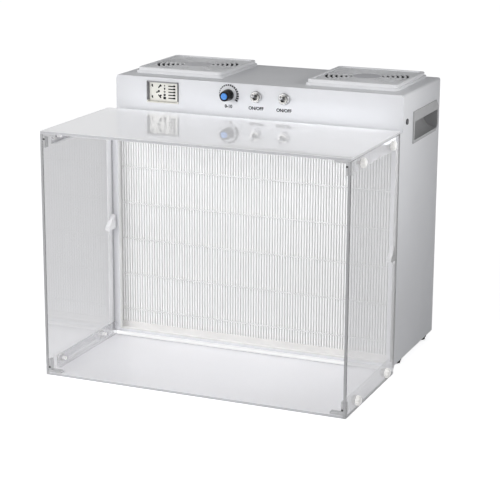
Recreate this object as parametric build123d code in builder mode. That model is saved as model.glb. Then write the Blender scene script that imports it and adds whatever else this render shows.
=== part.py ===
"""Bench-top laminar flow hood with a clear work enclosure.

A folded steel cabinet stands on four rubber feet. Two axial fans under its lid
draw room air through guarded dust pads and press it through a pleated filter
in the front face, into an open-fronted acrylic hood.

Frame: +X to the user's right, -Y towards the user, +Z up. The origin lies on
the bench, under the middle of the footprint. All lengths are in millimetres.
"""
import os
from math import atan2, cos, degrees, radians, sin

from build123d import *

os.makedirs("parts", exist_ok=True)

# ---------------------------------------------------------------- overall sizes
OVERALL_DEPTH = 376.0
CABINET_HEIGHT = 375.0
HOOD_WIDTH = 426.0
HOOD_OVERHANG = 3.0           # hood beyond the cabinet, at each side
CABINET_WIDTH = HOOD_WIDTH - 2 * HOOD_OVERHANG
HOOD_BELOW_LID = 43.0
HOOD_HEIGHT = CABINET_HEIGHT - HOOD_BELOW_LID
STRIP_SETBACK = 20.0          # control strip behind the filter face
LEDGE_DROP = 6.0              # ledge below the top of the hood
FOOT_HEIGHT = 8.0
SHEET = 1.2                   # painted steel sheet
BEND = 2.0                    # inside radius of a fold
FIT = 0.3                     # ordinary assembly clearance

# ---------------------------------------------------------------- cabinet sizes
REAR_SCREW_HEAD = 1.8
REAR_LIP = 12.0
PAN_WALL = 12.0
OPENING_SIDE = 11.0           # filter opening: lip at each side
OPENING_BOTTOM = 4.0
OPENING_TOP = 15.0
TAB_DEPTH = 28.0              # end tabs of the front fascia
SIDE_SCREW_INSET = 16.0
SIDE_SCREW_BELOW_TOP = 37.0
SIDE_SCREW_HEAD = 8.0
SIDE_SCREW_PROUD = 1.6
SIDE_SCREW_LENGTH = 8.0
CASE_SCREW = 3.0
CASE_SCREW_HOLE = 3.4
REAR_SCREW_DIAMETER = 6.0
REAR_SCREW_LENGTH = 6.0
REAR_SCREW_ROWS = 4
REAR_SCREW_INSET = 18.0       # lowest and highest screw from the panel's edge
FOOT_DIAMETER = 15.0
FOOT_TOP_DIAMETER = 18.0
FOOT_SIDE_INSET = 11.0
FOOT_FRONT_INSET = 48.0
FOOT_REAR_INSET = 22.0
FOOT_BORE = 4.2
FOOT_HEAD_BORE = 8.0
FOOT_HEAD_DEPTH = 4.0

# ---------------------------------------------------------------- filter sizes
GASKET = 3.0
GASKET_WIDTH = 3.0
FILTER_SIDE_GAP = 6.0
FILTER_WIDTH = CABINET_WIDTH - 2 * FILTER_SIDE_GAP
FILTER_TOP_GAP = 9.8          # below the ledge
FILTER_HEIGHT = HOOD_HEIGHT - LEDGE_DROP - FILTER_TOP_GAP - FOOT_HEIGHT - SHEET
FILTER_DEPTH = 46.0
FRAME_WALL = 2.0
MEDIA_RECESS = 9.8
MEDIA_REAR_RECESS = 2.0
SEALANT = 8.6
PLEAT_PITCH = 3.9
PLEAT_RIDGE = 2.5
PLEAT_NOSE = 0.5
MEDIA_SHEET = 0.6
BEAD_PITCH = 52.0
BEAD_FIRST = 39.0             # first glue bead above the bench
BEAD_HEIGHT = 1.6
BEAD_PROUD = 0.5
RETAINER_SHEET = 1.5
RETAINER_LEG = 12.0
RETAINER_START = 30.0
RETAINER_TOP_GAP = 37.0
RETAINER_HEIGHT = FILTER_HEIGHT - RETAINER_START - RETAINER_TOP_GAP

# ---------------------------------------------------------------- fan sizes
FAN_SIDE_INSET = 83.0         # fan axis from the side of the cabinet
FAN_SPACING = CABINET_WIDTH - 2 * FAN_SIDE_INSET
FAN_BEHIND_STRIP = 93.0
FAN_REAR_GAP = 13.0           # fan to the rear of the cabinet
FAN_SIZE = 120.0
FAN_HEIGHT = 25.0
FAN_RIM = 2.0                 # frame outside the bore, at its thinnest
FAN_BORE = FAN_SIZE - 2 * FAN_RIM
FAN_CORNER = 6.0
FAN_SCREW_INSET = 7.5
FAN_SCREW_PITCH = FAN_SIZE - 2 * FAN_SCREW_INSET
FAN_SCREW_HOLE = 4.4
FAN_SCREW = 4.0
FAN_SCREW_LENGTH = 14.0
FAN_SCREW_HEAD = 7.0
FAN_SCREW_HEAD_HEIGHT = 1.5
FAN_FLANGE = 4.0
MOTOR_DIAMETER = 44.0
MOTOR_PLATE = 3.5
STRUT_WIDTH = 5.0
STRUTS = 4
BEARING_TUBE = 8.0
BEARING_TUBE_HEIGHT = 12.0
SHAFT = 3.0
SHAFT_END = 2.0               # shaft end above the underside of the motor plate
RUNNING = 0.05                # radial clearance of a running fit
IMPELLER_HUB = 42.0
IMPELLER_TIP_GAP = 1.0
HUB_WALL = 2.0
HUB_TOP_GAP = 1.5
HUB_BOTTOM_GAP = 1.5
BLADES = 7
BLADE_THICKNESS = 1.6
BLADE_ROOT_ANGLE = 50.0
BLADE_TIP_ANGLE = 28.0
BLADE_CAMBER = 0.1            # rise of the section, as a share of its chord
BLADE_HEIGHT = 15.0
BLADE_ROOT_SUNK = 1.5         # blade root inside the hub wall
BLADE_TRIM = 2.0              # blade length cut off at the tip circle

# ---------------------------------------------------------------- fan guard sizes
BASE_MARGIN = 5.5             # beyond the fan
BASE_SIZE = FAN_SIZE + 2 * BASE_MARGIN
BASE_HEIGHT = 3.6
BASE_FLOOR = 1.4
BASE_WALL = 5.5
PAD_SIZE = BASE_SIZE - 2 * BASE_WALL
PAD_CORNER = 40.0
GUARD_STEP = 2.0              # guard inside the edge of its base
GUARD_SIZE = BASE_SIZE - 2 * GUARD_STEP
GUARD_HEIGHT = 4.6
GUARD_WALL = 2.4
GUARD_RIM = 4.5               # raised rim seen from above
GUARD_DISH = 1.3              # grille below the rim
GRILLE = 2.0
GRILLE_CORNER = 5.0
GUARD_EDGE = 0.8
SLOT_OUTER = FAN_BORE
SLOT_HUB = 40.0
SLOT_RINGS = 6
RING_WIDTH = 2.7
SPOKES = 8
SPOKE_WIDTH = 2.4

# ---------------------------------------------------------------- control sizes
DISPLAY_INSET = 72.0          # middle of the display from the left side
DISPLAY_X = DISPLAY_INSET - CABINET_WIDTH / 2
DISPLAY_BELOW_TOP = 20.2
DISPLAY_WIDTH = 48.0
DISPLAY_HEIGHT = 30.0
DISPLAY_FLANGE = 1.2
DISPLAY_BODY_INSET = 0.6
DISPLAY_LIP = 1.4
DISPLAY_BEVEL = 1.0
DISPLAY_BEVEL_DEPTH = 4.0
DISPLAY_DEPTH = 9.0
LCD_DEPTH = 3.4
BOARD_SHEET = 1.6
CONTROL_BELOW_TOP = 16.6      # knob and switch line
KNOB_X = -39.0
LIGHT_X = 1.6
POWER_X = 42.2
KNOB_DIAMETER = 16.0
KNOB_TOP_DIAMETER = 13.6
KNOB_HEIGHT = 15.0
KNOB_GAP = 0.6
KNOB_SKIRT = 4.0
KNOB_POCKET = 12.4
KNOB_POCKET_DEPTH = 3.0
KNOB_FLUTES = 18
FLUTE_RADIUS = 0.8
KNOB_CAP = 9.0
KNOB_CAP_SUNK = 1.6
KNOB_CAP_PROUD = 0.5
POT_BODY = 16.5
POT_DEPTH = 9.0
POT_BUSH = 7.0
POT_BUSH_PROUD = 3.0
POT_NUT = 10.0
POT_NUT_HEIGHT = 2.0
POT_SHAFT = 5.0
SWITCH_BUSH = 12.0
SWITCH_BUSH_PROUD = 5.0
SWITCH_NUT = 16.0
SWITCH_NUT_HEIGHT = 3.0
SWITCH_WIDTH = 15.0
SWITCH_BODY_HEIGHT = 24.0
SWITCH_DEPTH = 18.0
LEVER_BALL = 7.6
LEVER_NECK = 3.0
LEVER_TIP = 5.2
LEVER_LENGTH = 17.0
LEVER_TILT = 12.5             # each way from straight out
PIVOT_SUNK = 0.5

# ---------------------------------------------------------------- handle sizes
HANDLE_REAR_INSET = 9.2       # flange in front of the cabinet's rear
HANDLE_LENGTH = 112.0
HANDLE_HEIGHT = 43.0
HANDLE_TOP_GAP = 28.4         # flange below the lid
HANDLE_FLANGE = 1.4
HANDLE_RIM = 2.6
HANDLE_LIP = 13.8             # plate over the top of the scoop, behind which fingers curl
HANDLE_CHAMFER = 9.0
HANDLE_WALL = 1.4
HANDLE_REACH = 21.0
HANDLE_KNEE = 0.5             # where the back starts to curve, above the middle

# ---------------------------------------------------------------- hood sizes
CABINET_DEPTH = STRIP_SETBACK + FAN_BEHIND_STRIP + FAN_SIZE / 2 + FAN_REAR_GAP
HOOD_DEPTH = OVERALL_DEPTH - CABINET_DEPTH
ACRYLIC = 4.0
POLISH = 0.4                  # broken edge of an acrylic sheet
SEAL = 1.5
SEAL_WIDTH = 6.0
SEAL_OVERHANG = 3.0
RAIL = 6.0
RAIL_HEIGHT = 17.0
RAIL_FRONT_INSET = 22.0
THUMB_FRONT_INSET = 39.0      # front row of thumb screws behind the hood's front
THUMB_REAR_INSET = 33.5       # rear row in front of the hood's rear
THUMB_HEAD = 12.6
THUMB_HEAD_HEIGHT = 6.0
THUMB_CROWN = 9.6
THUMB_CROWN_HEIGHT = 1.6       # domed end of the head, above the flutes
THUMB_FLUTES = 8
THUMB_FLUTE = 1.3
THUMB_SHANK = 5.0
THUMB_HOLE = 5.4
THUMB_TIP_GAP = 1.0           # screw's tip short of the rail's inner face
BRACKET_LEG = 18.0
BRACKET_SHEET = 3.0
BRACKET_LENGTH = 8.0
BRACKET_INSET = 0.6
CLIP_HEIGHT = 20.0
CLIP_DEPTH = 20.0
CLIP_THICKNESS = 6.0
CLIP_NOSE = 4.0
CLIP_Z = 170.0
LED_END_GAP = 13.0            # light bar to rail
LED_LENGTH = HOOD_WIDTH - 2 * (ACRYLIC + RAIL + LED_END_GAP)
LED_HEIGHT = 10.0
LED_DEPTH = 7.0
LED_ROUND = 2.5
LED_DROP = 2.0

# ---------------------------------------------------------------- inside the cabinet
PCB_LENGTH = 70.0
PCB_WIDTH = 45.0
PCB_BOSS = 7.0
PCB_BOSS_HEIGHT = 5.0
PCB_BOSS_INSET = 5.0
PCB_SIDE_INSET = 30.0
PCB_REAR_INSET = 30.0
COIL_LENGTH = 14.0
COIL_WIDTH = 22.0
COIL_HEIGHT = 15.0
COIL_OFFSET = 17.5
CAPACITOR = 7.0
CAPACITOR_HEIGHT = 11.0
CAPACITOR_OFFSET = 8.5
CAPACITOR_PITCH = 22.0
TERMINAL_WIDTH = 7.0
TERMINAL_LENGTH = 30.0
TERMINAL_HEIGHT = 7.0
TERMINAL_OFFSET = 26.0
INLET_INSET = 60.0            # from the right side
INLET_X = CABINET_WIDTH / 2 - INLET_INSET
INLET_Z = 40.0
INLET_BODY = 11.6
INLET_FLANGE = 15.0
INLET_FLANGE_HEIGHT = 1.5
INLET_LENGTH = 13.0
INLET_BORE = 6.4
INLET_BORE_DEPTH = 9.0
INLET_PIN = 2.1

# ---------------------------------------------------------------- derived places
hood_front_y = -OVERALL_DEPTH / 2
face_y = hood_front_y + HOOD_DEPTH
strip_y = face_y + STRIP_SETBACK
rear_y = OVERALL_DEPTH / 2 - REAR_SCREW_HEAD
shell_rear_y = rear_y - SHEET
floor_z = FOOT_HEIGHT
floor_top_z = floor_z + SHEET
lid_z = CABINET_HEIGHT
lid_under_z = lid_z - SHEET
ledge_z = HOOD_HEIGHT - LEDGE_DROP
half_cabinet = CABINET_WIDTH / 2
inner_half = half_cabinet - SHEET
case_height = lid_z - floor_z
hood_inner_half = HOOD_WIDTH / 2 - ACRYLIC
hood_rear_y = face_y - SEAL
hood_under_z = HOOD_HEIGHT - ACRYLIC
fan_x = FAN_SPACING / 2
fan_y = strip_y + FAN_BEHIND_STRIP
fan_floor_z = lid_under_z - FAN_HEIGHT
control_z = lid_z - CONTROL_BELOW_TOP
display_z = lid_z - DISPLAY_BELOW_TOP
side_screw_z = lid_z - SIDE_SCREW_BELOW_TOP
side_screw_y = strip_y + SIDE_SCREW_INSET
handle_mid_y = rear_y - HANDLE_REAR_INSET - HANDLE_LENGTH / 2
handle_mid_z = lid_z - HANDLE_TOP_GAP - HANDLE_HEIGHT / 2
handle_body_length = HANDLE_LENGTH - 2 * HANDLE_RIM
handle_body_height = HANDLE_HEIGHT - 2 * HANDLE_RIM
foot_x = half_cabinet - FOOT_SIDE_INSET
foot_front_y = face_y + FOOT_FRONT_INSET
foot_rear_y = rear_y - FOOT_REAR_INSET
foot_places = [(x, y) for x in (-foot_x, foot_x) for y in (foot_front_y, foot_rear_y)]
fan_places = [(-fan_x, fan_y), (fan_x, fan_y)]
opening_half = half_cabinet - OPENING_SIDE
opening_low_z = floor_z + OPENING_BOTTOM
opening_high_z = ledge_z - OPENING_TOP
filter_front_y = face_y + SHEET + GASKET
filter_rear_y = filter_front_y + FILTER_DEPTH
filter_top_z = floor_top_z + FILTER_HEIGHT
filter_mid_z = floor_top_z + FILTER_HEIGHT / 2
rear_mid_z = floor_z + case_height / 2
rear_screw_x = inner_half - REAR_LIP / 2
rear_screw_pitch = (case_height - 2 * REAR_SCREW_INSET) / (REAR_SCREW_ROWS - 1)


def facing_user(y, x=0.0, z=0.0):
    """Plane whose local x is +X and local y is +Z, with its normal at the user."""
    return Plane(origin=(x, y, z), x_dir=(1, 0, 0), z_dir=(0, -1, 0))


def facing_right(x, y=0.0, z=0.0):
    """Plane whose local x is +Y and local y is +Z, with its normal along +X."""
    return Plane(origin=(x, y, z), x_dir=(0, 1, 0), z_dir=(1, 0, 0))


def save(piece, name):
    """Labels a finished piece and writes its file."""
    piece.part.label = name
    export_step(piece.part, f"parts/{name}.step")


def save_pair(right_piece, name):
    """Writes a right-hand piece and its mirror image on the left."""
    save(right_piece, f"{name}_right")
    with BuildPart() as left_piece:
        mirror(right_piece.part, about=Plane.YZ)
    save(left_piece, f"{name}_left")


# ================================================================ cabinet
# Shell: one sheet folded over the top and down both sides, L-shaped in side view.
with BuildPart() as cabinet_shell:
    with BuildSketch(facing_user(face_y)):
        with Locations((0, floor_z + case_height / 2)):
            Rectangle(CABINET_WIDTH, case_height)
        with Locations((0, floor_z + case_height / 2 - SHEET)):
            Rectangle(2 * inner_half, case_height, mode=Mode.SUBTRACT)
    extrude(amount=-(shell_rear_y - face_y))
    lid_edges = cabinet_shell.edges().filter_by(Axis.Y).group_by(Axis.Z)
    fillet(lid_edges[-1], BEND + SHEET)
    fillet(cabinet_shell.edges().filter_by(Axis.Y).group_by(Axis.Z)[-2], BEND)
    # Step in front of the control strip
    with BuildSketch(facing_right(half_cabinet)):
        with Locations((strip_y - STRIP_SETBACK, ledge_z)):
            Rectangle(STRIP_SETBACK, lid_z - ledge_z, align=(Align.MIN, Align.MIN))
    extrude(amount=-CABINET_WIDTH, mode=Mode.SUBTRACT)
    # Rear lips that carry the rear panel
    with BuildSketch(facing_user(shell_rear_y)):
        with Locations((0, floor_z + (case_height - SHEET) / 2)):
            Rectangle(2 * inner_half, case_height - SHEET)
        with Locations((0, floor_z + (case_height - SHEET) / 2 - REAR_LIP)):
            Rectangle(2 * (inner_half - REAR_LIP), case_height - SHEET, mode=Mode.SUBTRACT)
        with Locations((0, rear_mid_z)):
            with GridLocations(2 * rear_screw_x, rear_screw_pitch, 2, REAR_SCREW_ROWS):
                Circle(CASE_SCREW / 2, mode=Mode.SUBTRACT)
    extrude(amount=SHEET)
    # Fan openings and their screw holes
    with BuildSketch(Plane.XY.offset(lid_z)):
        with Locations(*fan_places):
            Circle(FAN_BORE / 2)
            with GridLocations(FAN_SCREW_PITCH, FAN_SCREW_PITCH, 2, 2):
                Circle(FAN_SCREW_HOLE / 2)
    extrude(amount=-2 * SHEET, mode=Mode.SUBTRACT)
    # Handle cut-outs and fascia screw holes, through both sides
    with BuildSketch(facing_right(half_cabinet)):
        with Locations((handle_mid_y, handle_mid_z)):
            Rectangle(handle_body_length + FIT, handle_body_height + FIT)
        with Locations((side_screw_y, side_screw_z)):
            Circle(CASE_SCREW_HOLE / 2)
    extrude(amount=-CABINET_WIDTH, mode=Mode.SUBTRACT)
save(cabinet_shell, "cabinet_shell")

# Fascia: one sheet folded into control strip, ledge and filter face.
with BuildPart() as front_fascia:
    with BuildSketch(Plane.YZ):
        with BuildLine():
            FilletPolyline(
                (strip_y, lid_under_z),
                (strip_y, ledge_z),
                (face_y, ledge_z),
                (face_y, floor_z),
                radius=BEND + SHEET,
            )
            offset(amount=SHEET, side=Side.LEFT)
        make_face()
    extrude(amount=inner_half, both=True)
    strip_corners = front_fascia.edges().filter_by(Axis.Y).group_by(Axis.Z)[-1]
    fillet(strip_corners, BEND)
    # End tabs, screwed to the sides of the shell
    with BuildSketch(facing_right(inner_half)):
        with Locations((strip_y + SHEET, ledge_z)):
            Rectangle(TAB_DEPTH, lid_under_z - BEND - ledge_z, align=(Align.MIN, Align.MIN))
        with Locations((side_screw_y, side_screw_z)):
            Circle(CASE_SCREW / 2, mode=Mode.SUBTRACT)
    tab = extrude(amount=-SHEET)
    mirror(tab, about=Plane.YZ)
    # Filter opening
    with BuildSketch(facing_user(face_y)):
        with Locations((0, opening_low_z)):
            Rectangle(
                2 * opening_half,
                opening_high_z - opening_low_z,
                align=(Align.CENTER, Align.MIN),
            )
    extrude(amount=-2 * SHEET, mode=Mode.SUBTRACT)
    # Openings for display, speed control and the two switches
    with BuildSketch(facing_user(strip_y)):
        with Locations((DISPLAY_X, display_z)):
            Rectangle(
                DISPLAY_WIDTH - 2 * DISPLAY_BODY_INSET + FIT,
                DISPLAY_HEIGHT - 2 * DISPLAY_BODY_INSET + FIT,
            )
        with Locations((KNOB_X, control_z)):
            Circle((POT_BUSH + FIT) / 2)
        with Locations((LIGHT_X, control_z), (POWER_X, control_z)):
            Circle((SWITCH_BUSH + FIT) / 2)
    extrude(amount=-2 * SHEET, mode=Mode.SUBTRACT)
save(front_fascia, "front_fascia")

# Rear panel, screwed to the lips of the shell
with BuildPart() as rear_panel:
    with BuildSketch(facing_user(rear_y, 0, rear_mid_z)):
        Rectangle(CABINET_WIDTH, case_height)
        with GridLocations(2 * rear_screw_x, rear_screw_pitch, 2, REAR_SCREW_ROWS):
            Circle(CASE_SCREW_HOLE / 2, mode=Mode.SUBTRACT)
        with Locations((INLET_X, INLET_Z - rear_mid_z)):
            Circle((INLET_BODY + FIT) / 2, mode=Mode.SUBTRACT)
    extrude(amount=SHEET)
    corner_edges = rear_panel.edges().filter_by(Axis.Y).group_by(Axis.Z)[-1]
    fillet(corner_edges, BEND + SHEET)
save(rear_panel, "rear_panel")

# Base pan: tray open at the top and at the front, with bosses for the circuit board
pan_depth = shell_rear_y - SHEET - (face_y + SHEET)
pcb_x = inner_half - PCB_SIDE_INSET - PCB_LENGTH / 2
pcb_y = shell_rear_y - PCB_REAR_INSET - PCB_WIDTH / 2
pcb_pitch_x = PCB_LENGTH - 2 * PCB_BOSS_INSET
pcb_pitch_y = PCB_WIDTH - 2 * PCB_BOSS_INSET
with BuildPart() as base_pan:
    with BuildSketch(Plane.XY.offset(floor_z)):
        with Locations((0, face_y + SHEET)):
            Rectangle(2 * inner_half, pan_depth, align=(Align.CENTER, Align.MIN))
    extrude(amount=PAN_WALL)
    open_top = base_pan.faces().sort_by(Axis.Z)[-1]
    open_front = base_pan.faces().sort_by(Axis.Y)[0]
    offset(amount=-SHEET, openings=[open_top, open_front])
    with BuildSketch(Plane.XY.offset(floor_top_z)):
        with Locations((pcb_x, pcb_y)):
            with GridLocations(pcb_pitch_x, pcb_pitch_y, 2, 2):
                Circle(PCB_BOSS / 2)
    extrude(amount=PCB_BOSS_HEIGHT)
    with BuildSketch(Plane.XY.offset(floor_z)):
        with Locations(*foot_places):
            Circle(FOOT_BORE / 2)
    extrude(amount=SHEET, mode=Mode.SUBTRACT)
save(base_pan, "base_pan")

# Feet: four turned rubber feet with a sunk screw seat
with BuildPart() as feet:
    with BuildSketch(Plane.XY):
        with Locations(*foot_places):
            Circle(FOOT_DIAMETER / 2)
    extrude(amount=FOOT_HEIGHT / 2)
    with BuildSketch(Plane.XY.offset(FOOT_HEIGHT / 2)):
        with Locations(*foot_places):
            Circle(FOOT_TOP_DIAMETER / 2)
    extrude(amount=FOOT_HEIGHT / 2)
    with Locations(*[Location((x, y, 0), (180, 0, 0)) for x, y in foot_places]):
        CounterBoreHole(FOOT_BORE / 2, FOOT_HEAD_BORE / 2, FOOT_HEAD_DEPTH, FOOT_HEIGHT)
save(feet, "feet")

# Case screws: black heads on the sides, bright heads on the rear panel
with BuildPart() as side_screw_right:
    with BuildSketch(facing_right(half_cabinet)):
        with Locations((side_screw_y, side_screw_z)):
            Circle(SIDE_SCREW_HEAD / 2)
    extrude(amount=SIDE_SCREW_PROUD)
    head_rim = side_screw_right.edges().filter_by(GeomType.CIRCLE).sort_by(Axis.X)[-1]
    fillet(head_rim, SIDE_SCREW_PROUD / 2)
    with BuildSketch(facing_right(half_cabinet)):
        with Locations((side_screw_y, side_screw_z)):
            Circle((CASE_SCREW - FIT / 2) / 2)
    extrude(amount=-SIDE_SCREW_LENGTH)
with BuildPart() as side_screws:
    add(side_screw_right.part)
    mirror(side_screw_right.part, about=Plane.YZ)
save(side_screws, "side_screws")

with BuildPart() as rear_screws:
    with BuildSketch(facing_user(rear_y, 0, rear_mid_z)):
        with GridLocations(2 * rear_screw_x, rear_screw_pitch, 2, REAR_SCREW_ROWS):
            Circle(REAR_SCREW_DIAMETER / 2)
    extrude(amount=-REAR_SCREW_HEAD)
    head_rims = rear_screws.edges().filter_by(GeomType.CIRCLE).group_by(Axis.Y)[-1]
    fillet(head_rims, REAR_SCREW_HEAD / 2)
    with BuildSketch(facing_user(rear_y, 0, rear_mid_z)):
        with GridLocations(2 * rear_screw_x, rear_screw_pitch, 2, REAR_SCREW_ROWS):
            Circle((CASE_SCREW - FIT / 2) / 2)
    extrude(amount=REAR_SCREW_LENGTH)
save(rear_screws, "rear_screws")

# ================================================================ filter
# Frame of folded sheet around the pleat pack
with BuildPart() as filter_frame:
    with BuildSketch(facing_user(filter_rear_y, 0, filter_mid_z)):
        Rectangle(FILTER_WIDTH, FILTER_HEIGHT)
        Rectangle(FILTER_WIDTH - 2 * FRAME_WALL, FILTER_HEIGHT - 2 * FRAME_WALL, mode=Mode.SUBTRACT)
    extrude(amount=FILTER_DEPTH)
save(filter_frame, "filter_frame")

# Foam gasket squeezed between the fascia and the filter frame
with BuildPart() as filter_gasket:
    with BuildSketch(facing_user(filter_front_y, 0, filter_mid_z)):
        Rectangle(FILTER_WIDTH, FILTER_HEIGHT)
        Rectangle(
            FILTER_WIDTH - 2 * GASKET_WIDTH,
            FILTER_HEIGHT - 2 * GASKET_WIDTH,
            mode=Mode.SUBTRACT,
        )
    extrude(amount=GASKET)
save(filter_gasket, "filter_gasket")

# Pleat pack: one sheet folded to and fro, with blunt noses, glued between the sealants
media_front_y = filter_front_y + MEDIA_RECESS
media_rear_y = filter_rear_y - MEDIA_REAR_RECESS
media_width = FILTER_WIDTH - 2 * FRAME_WALL
pleat_count = int(media_width / PLEAT_PITCH)
pleat_low_z = floor_top_z + FRAME_WALL + SEALANT
pleat_high_z = filter_top_z - FRAME_WALL - SEALANT
ridge = PLEAT_RIDGE / 2
valley = PLEAT_PITCH / 2
inner_rear_y = media_rear_y - MEDIA_SHEET


def pleat_front(x):
    """Front outline of the pleat centred on x, from valley floor to valley floor."""
    return [
        (x - ridge, inner_rear_y),
        (x - ridge, media_front_y + PLEAT_NOSE),
        (x - ridge + PLEAT_NOSE, media_front_y),
        (x + ridge - PLEAT_NOSE, media_front_y),
        (x + ridge, media_front_y + PLEAT_NOSE),
        (x + ridge, inner_rear_y),
    ]


def pleat_back(x):
    """Rear outline of the same pleat, one sheet thickness behind the front."""
    inner_ridge = ridge - MEDIA_SHEET
    return [
        (x + inner_ridge, media_rear_y),
        (x + inner_ridge, media_front_y + PLEAT_NOSE),
        (x + inner_ridge - PLEAT_NOSE / 2, media_front_y + MEDIA_SHEET),
        (x - inner_ridge + PLEAT_NOSE / 2, media_front_y + MEDIA_SHEET),
        (x - inner_ridge, media_front_y + PLEAT_NOSE),
        (x - inner_ridge, media_rear_y),
    ]


pleat_places = [(i - (pleat_count - 1) / 2) * PLEAT_PITCH for i in range(pleat_count)]
media_outline = [(pleat_places[0] - valley, media_rear_y)]
media_outline += [(pleat_places[0] - valley, inner_rear_y)]
for place in pleat_places:
    media_outline += pleat_front(place)
media_outline += [(pleat_places[-1] + valley, inner_rear_y)]
media_outline += [(pleat_places[-1] + valley, media_rear_y)]
for place in reversed(pleat_places):
    media_outline += pleat_back(place)
with BuildPart() as filter_media:
    with BuildSketch(Plane.XY.offset(pleat_low_z)):
        with BuildLine():
            Polyline(*media_outline, close=True)
        make_face()
    extrude(amount=pleat_high_z - pleat_low_z)
save(filter_media, "filter_media")

# Sealant: the cream potting that closes the pleat ends, below and above
sealant_depth = media_rear_y - media_front_y + MEDIA_REAR_RECESS
with BuildPart() as filter_sealant:
    with BuildSketch(Plane.XY.offset(pleat_low_z), Plane.XY.offset(pleat_high_z + SEALANT)):
        with Locations((0, media_front_y - MEDIA_REAR_RECESS / 2)):
            Rectangle(media_width, sealant_depth, align=(Align.CENTER, Align.MIN))
    extrude(amount=-SEALANT)
save(filter_sealant, "filter_sealant")

# Glue beads that keep the pleats apart
bead_count = int((pleat_high_z - BEAD_FIRST) / BEAD_PITCH) + 1
with BuildPart() as filter_beads:
    with BuildSketch(facing_user(media_front_y, 0, BEAD_FIRST)):
        with Locations(*[(0, i * BEAD_PITCH) for i in range(bead_count)]):
            Rectangle(pleat_count * PLEAT_PITCH - 2 * valley, BEAD_HEIGHT)
    extrude(amount=BEAD_PROUD)
save(filter_beads, "filter_beads")

# Retainers: angles on the side sheets that press the filter forwards
with BuildPart() as filter_retainer:
    with BuildSketch(Plane.XY.offset(floor_z + RETAINER_START)):
        with Locations((inner_half, filter_rear_y)):
            Rectangle(RETAINER_LEG, RETAINER_SHEET, align=(Align.MAX, Align.MIN))
            Rectangle(RETAINER_SHEET, RETAINER_LEG, align=(Align.MAX, Align.MIN))
    extrude(amount=RETAINER_HEIGHT)
save_pair(filter_retainer, "filter_retainer")

# ================================================================ fans
fan_top = Plane(origin=(fan_x, fan_y, lid_under_z))
fan_floor = Plane(origin=(fan_x, fan_y, fan_floor_z))
with BuildPart() as fan_frame:
    with BuildSketch(fan_floor):
        RectangleRounded(FAN_SIZE, FAN_SIZE, FAN_CORNER)
    extrude(amount=FAN_HEIGHT)
    # Waist between the two flanges, round like the bore
    with BuildSketch(fan_floor.offset(FAN_FLANGE)):
        Rectangle(2 * FAN_SIZE, 2 * FAN_SIZE)
        Circle(FAN_SIZE / 2, mode=Mode.SUBTRACT)
    extrude(amount=FAN_HEIGHT - 2 * FAN_FLANGE, mode=Mode.SUBTRACT)
    with BuildSketch(fan_floor):
        Circle(FAN_BORE / 2)
    extrude(amount=FAN_HEIGHT, mode=Mode.SUBTRACT)
    # Motor plate, its struts and the bearing tube
    with BuildSketch(fan_floor):
        with PolarLocations(0, STRUTS, start_angle=45):
            Rectangle((FAN_BORE + FAN_RIM) / 2, STRUT_WIDTH, align=(Align.MIN, Align.CENTER))
        Circle(MOTOR_DIAMETER / 2)
    extrude(amount=MOTOR_PLATE)
    with BuildSketch(fan_floor):
        Circle(BEARING_TUBE / 2)
    extrude(amount=MOTOR_PLATE + BEARING_TUBE_HEIGHT)
    with BuildSketch(fan_floor):
        Circle(SHAFT / 2 + RUNNING)
        with GridLocations(FAN_SCREW_PITCH, FAN_SCREW_PITCH, 2, 2):
            Circle(FAN_SCREW_HOLE / 2)
    extrude(amount=FAN_HEIGHT, mode=Mode.SUBTRACT)
save_pair(fan_frame, "fan_frame")

# Blade sections: thin and cambered, steep at the hub and flat at the tip
hub_low_z = fan_floor_z + MOTOR_PLATE + HUB_BOTTOM_GAP
hub_high_z = lid_under_z - HUB_TOP_GAP
blade_mid_z = (hub_low_z + hub_high_z) / 2
blade_tip = FAN_BORE / 2 - IMPELLER_TIP_GAP
blade_root = IMPELLER_HUB / 2 - BLADE_ROOT_SUNK


def blade_section(radius, pitch_angle):
    """Cambered blade section, on a plane square to the blade at a radius."""
    chord = BLADE_HEIGHT / sin(radians(pitch_angle))
    rise = chord * BLADE_CAMBER
    section_plane = Plane(
        origin=(fan_x + radius, fan_y, blade_mid_z),
        x_dir=(0, 1, 0),
        z_dir=(1, 0, 0),
    )
    with BuildSketch(section_plane.rotated((0, 0, pitch_angle))) as section:
        with BuildLine():
            back = ThreePointArc((-chord / 2, 0), (0, rise + BLADE_THICKNESS), (chord / 2, 0))
            ThreePointArc(back @ 1, (0, rise), back @ 0)
        make_face()
    return section.sketch


with BuildPart() as fan_blade:
    loft(
        [
            blade_section(blade_root, BLADE_ROOT_ANGLE),
            blade_section(blade_tip + BLADE_TRIM, BLADE_TIP_ANGLE),
        ]
    )

# Impeller: hub cup, blades and shaft in one moulding
with BuildPart() as fan_impeller:
    with BuildSketch(Plane(origin=(fan_x, fan_y, hub_low_z))):
        Circle(IMPELLER_HUB / 2)
    extrude(amount=hub_high_z - hub_low_z)
    with Locations(*[Location((fan_x, fan_y, 0), (0, 0, i * 360 / BLADES)) for i in range(BLADES)]):
        add(fan_blade.part.moved(Location((-fan_x, -fan_y, 0))))
    with BuildSketch(Plane(origin=(fan_x, fan_y, hub_low_z))):
        Circle(blade_tip)
    extrude(amount=hub_high_z - hub_low_z, mode=Mode.INTERSECT)
    with BuildSketch(Plane(origin=(fan_x, fan_y, hub_low_z))):
        Circle(IMPELLER_HUB / 2 - HUB_WALL)
    extrude(amount=hub_high_z - hub_low_z - HUB_WALL, mode=Mode.SUBTRACT)
    with BuildSketch(Plane(origin=(fan_x, fan_y, hub_high_z - HUB_WALL))):
        Circle(SHAFT / 2)
    extrude(amount=-(hub_high_z - HUB_WALL - fan_floor_z - SHAFT_END))
save(fan_impeller, "fan_impeller_right")
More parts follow.
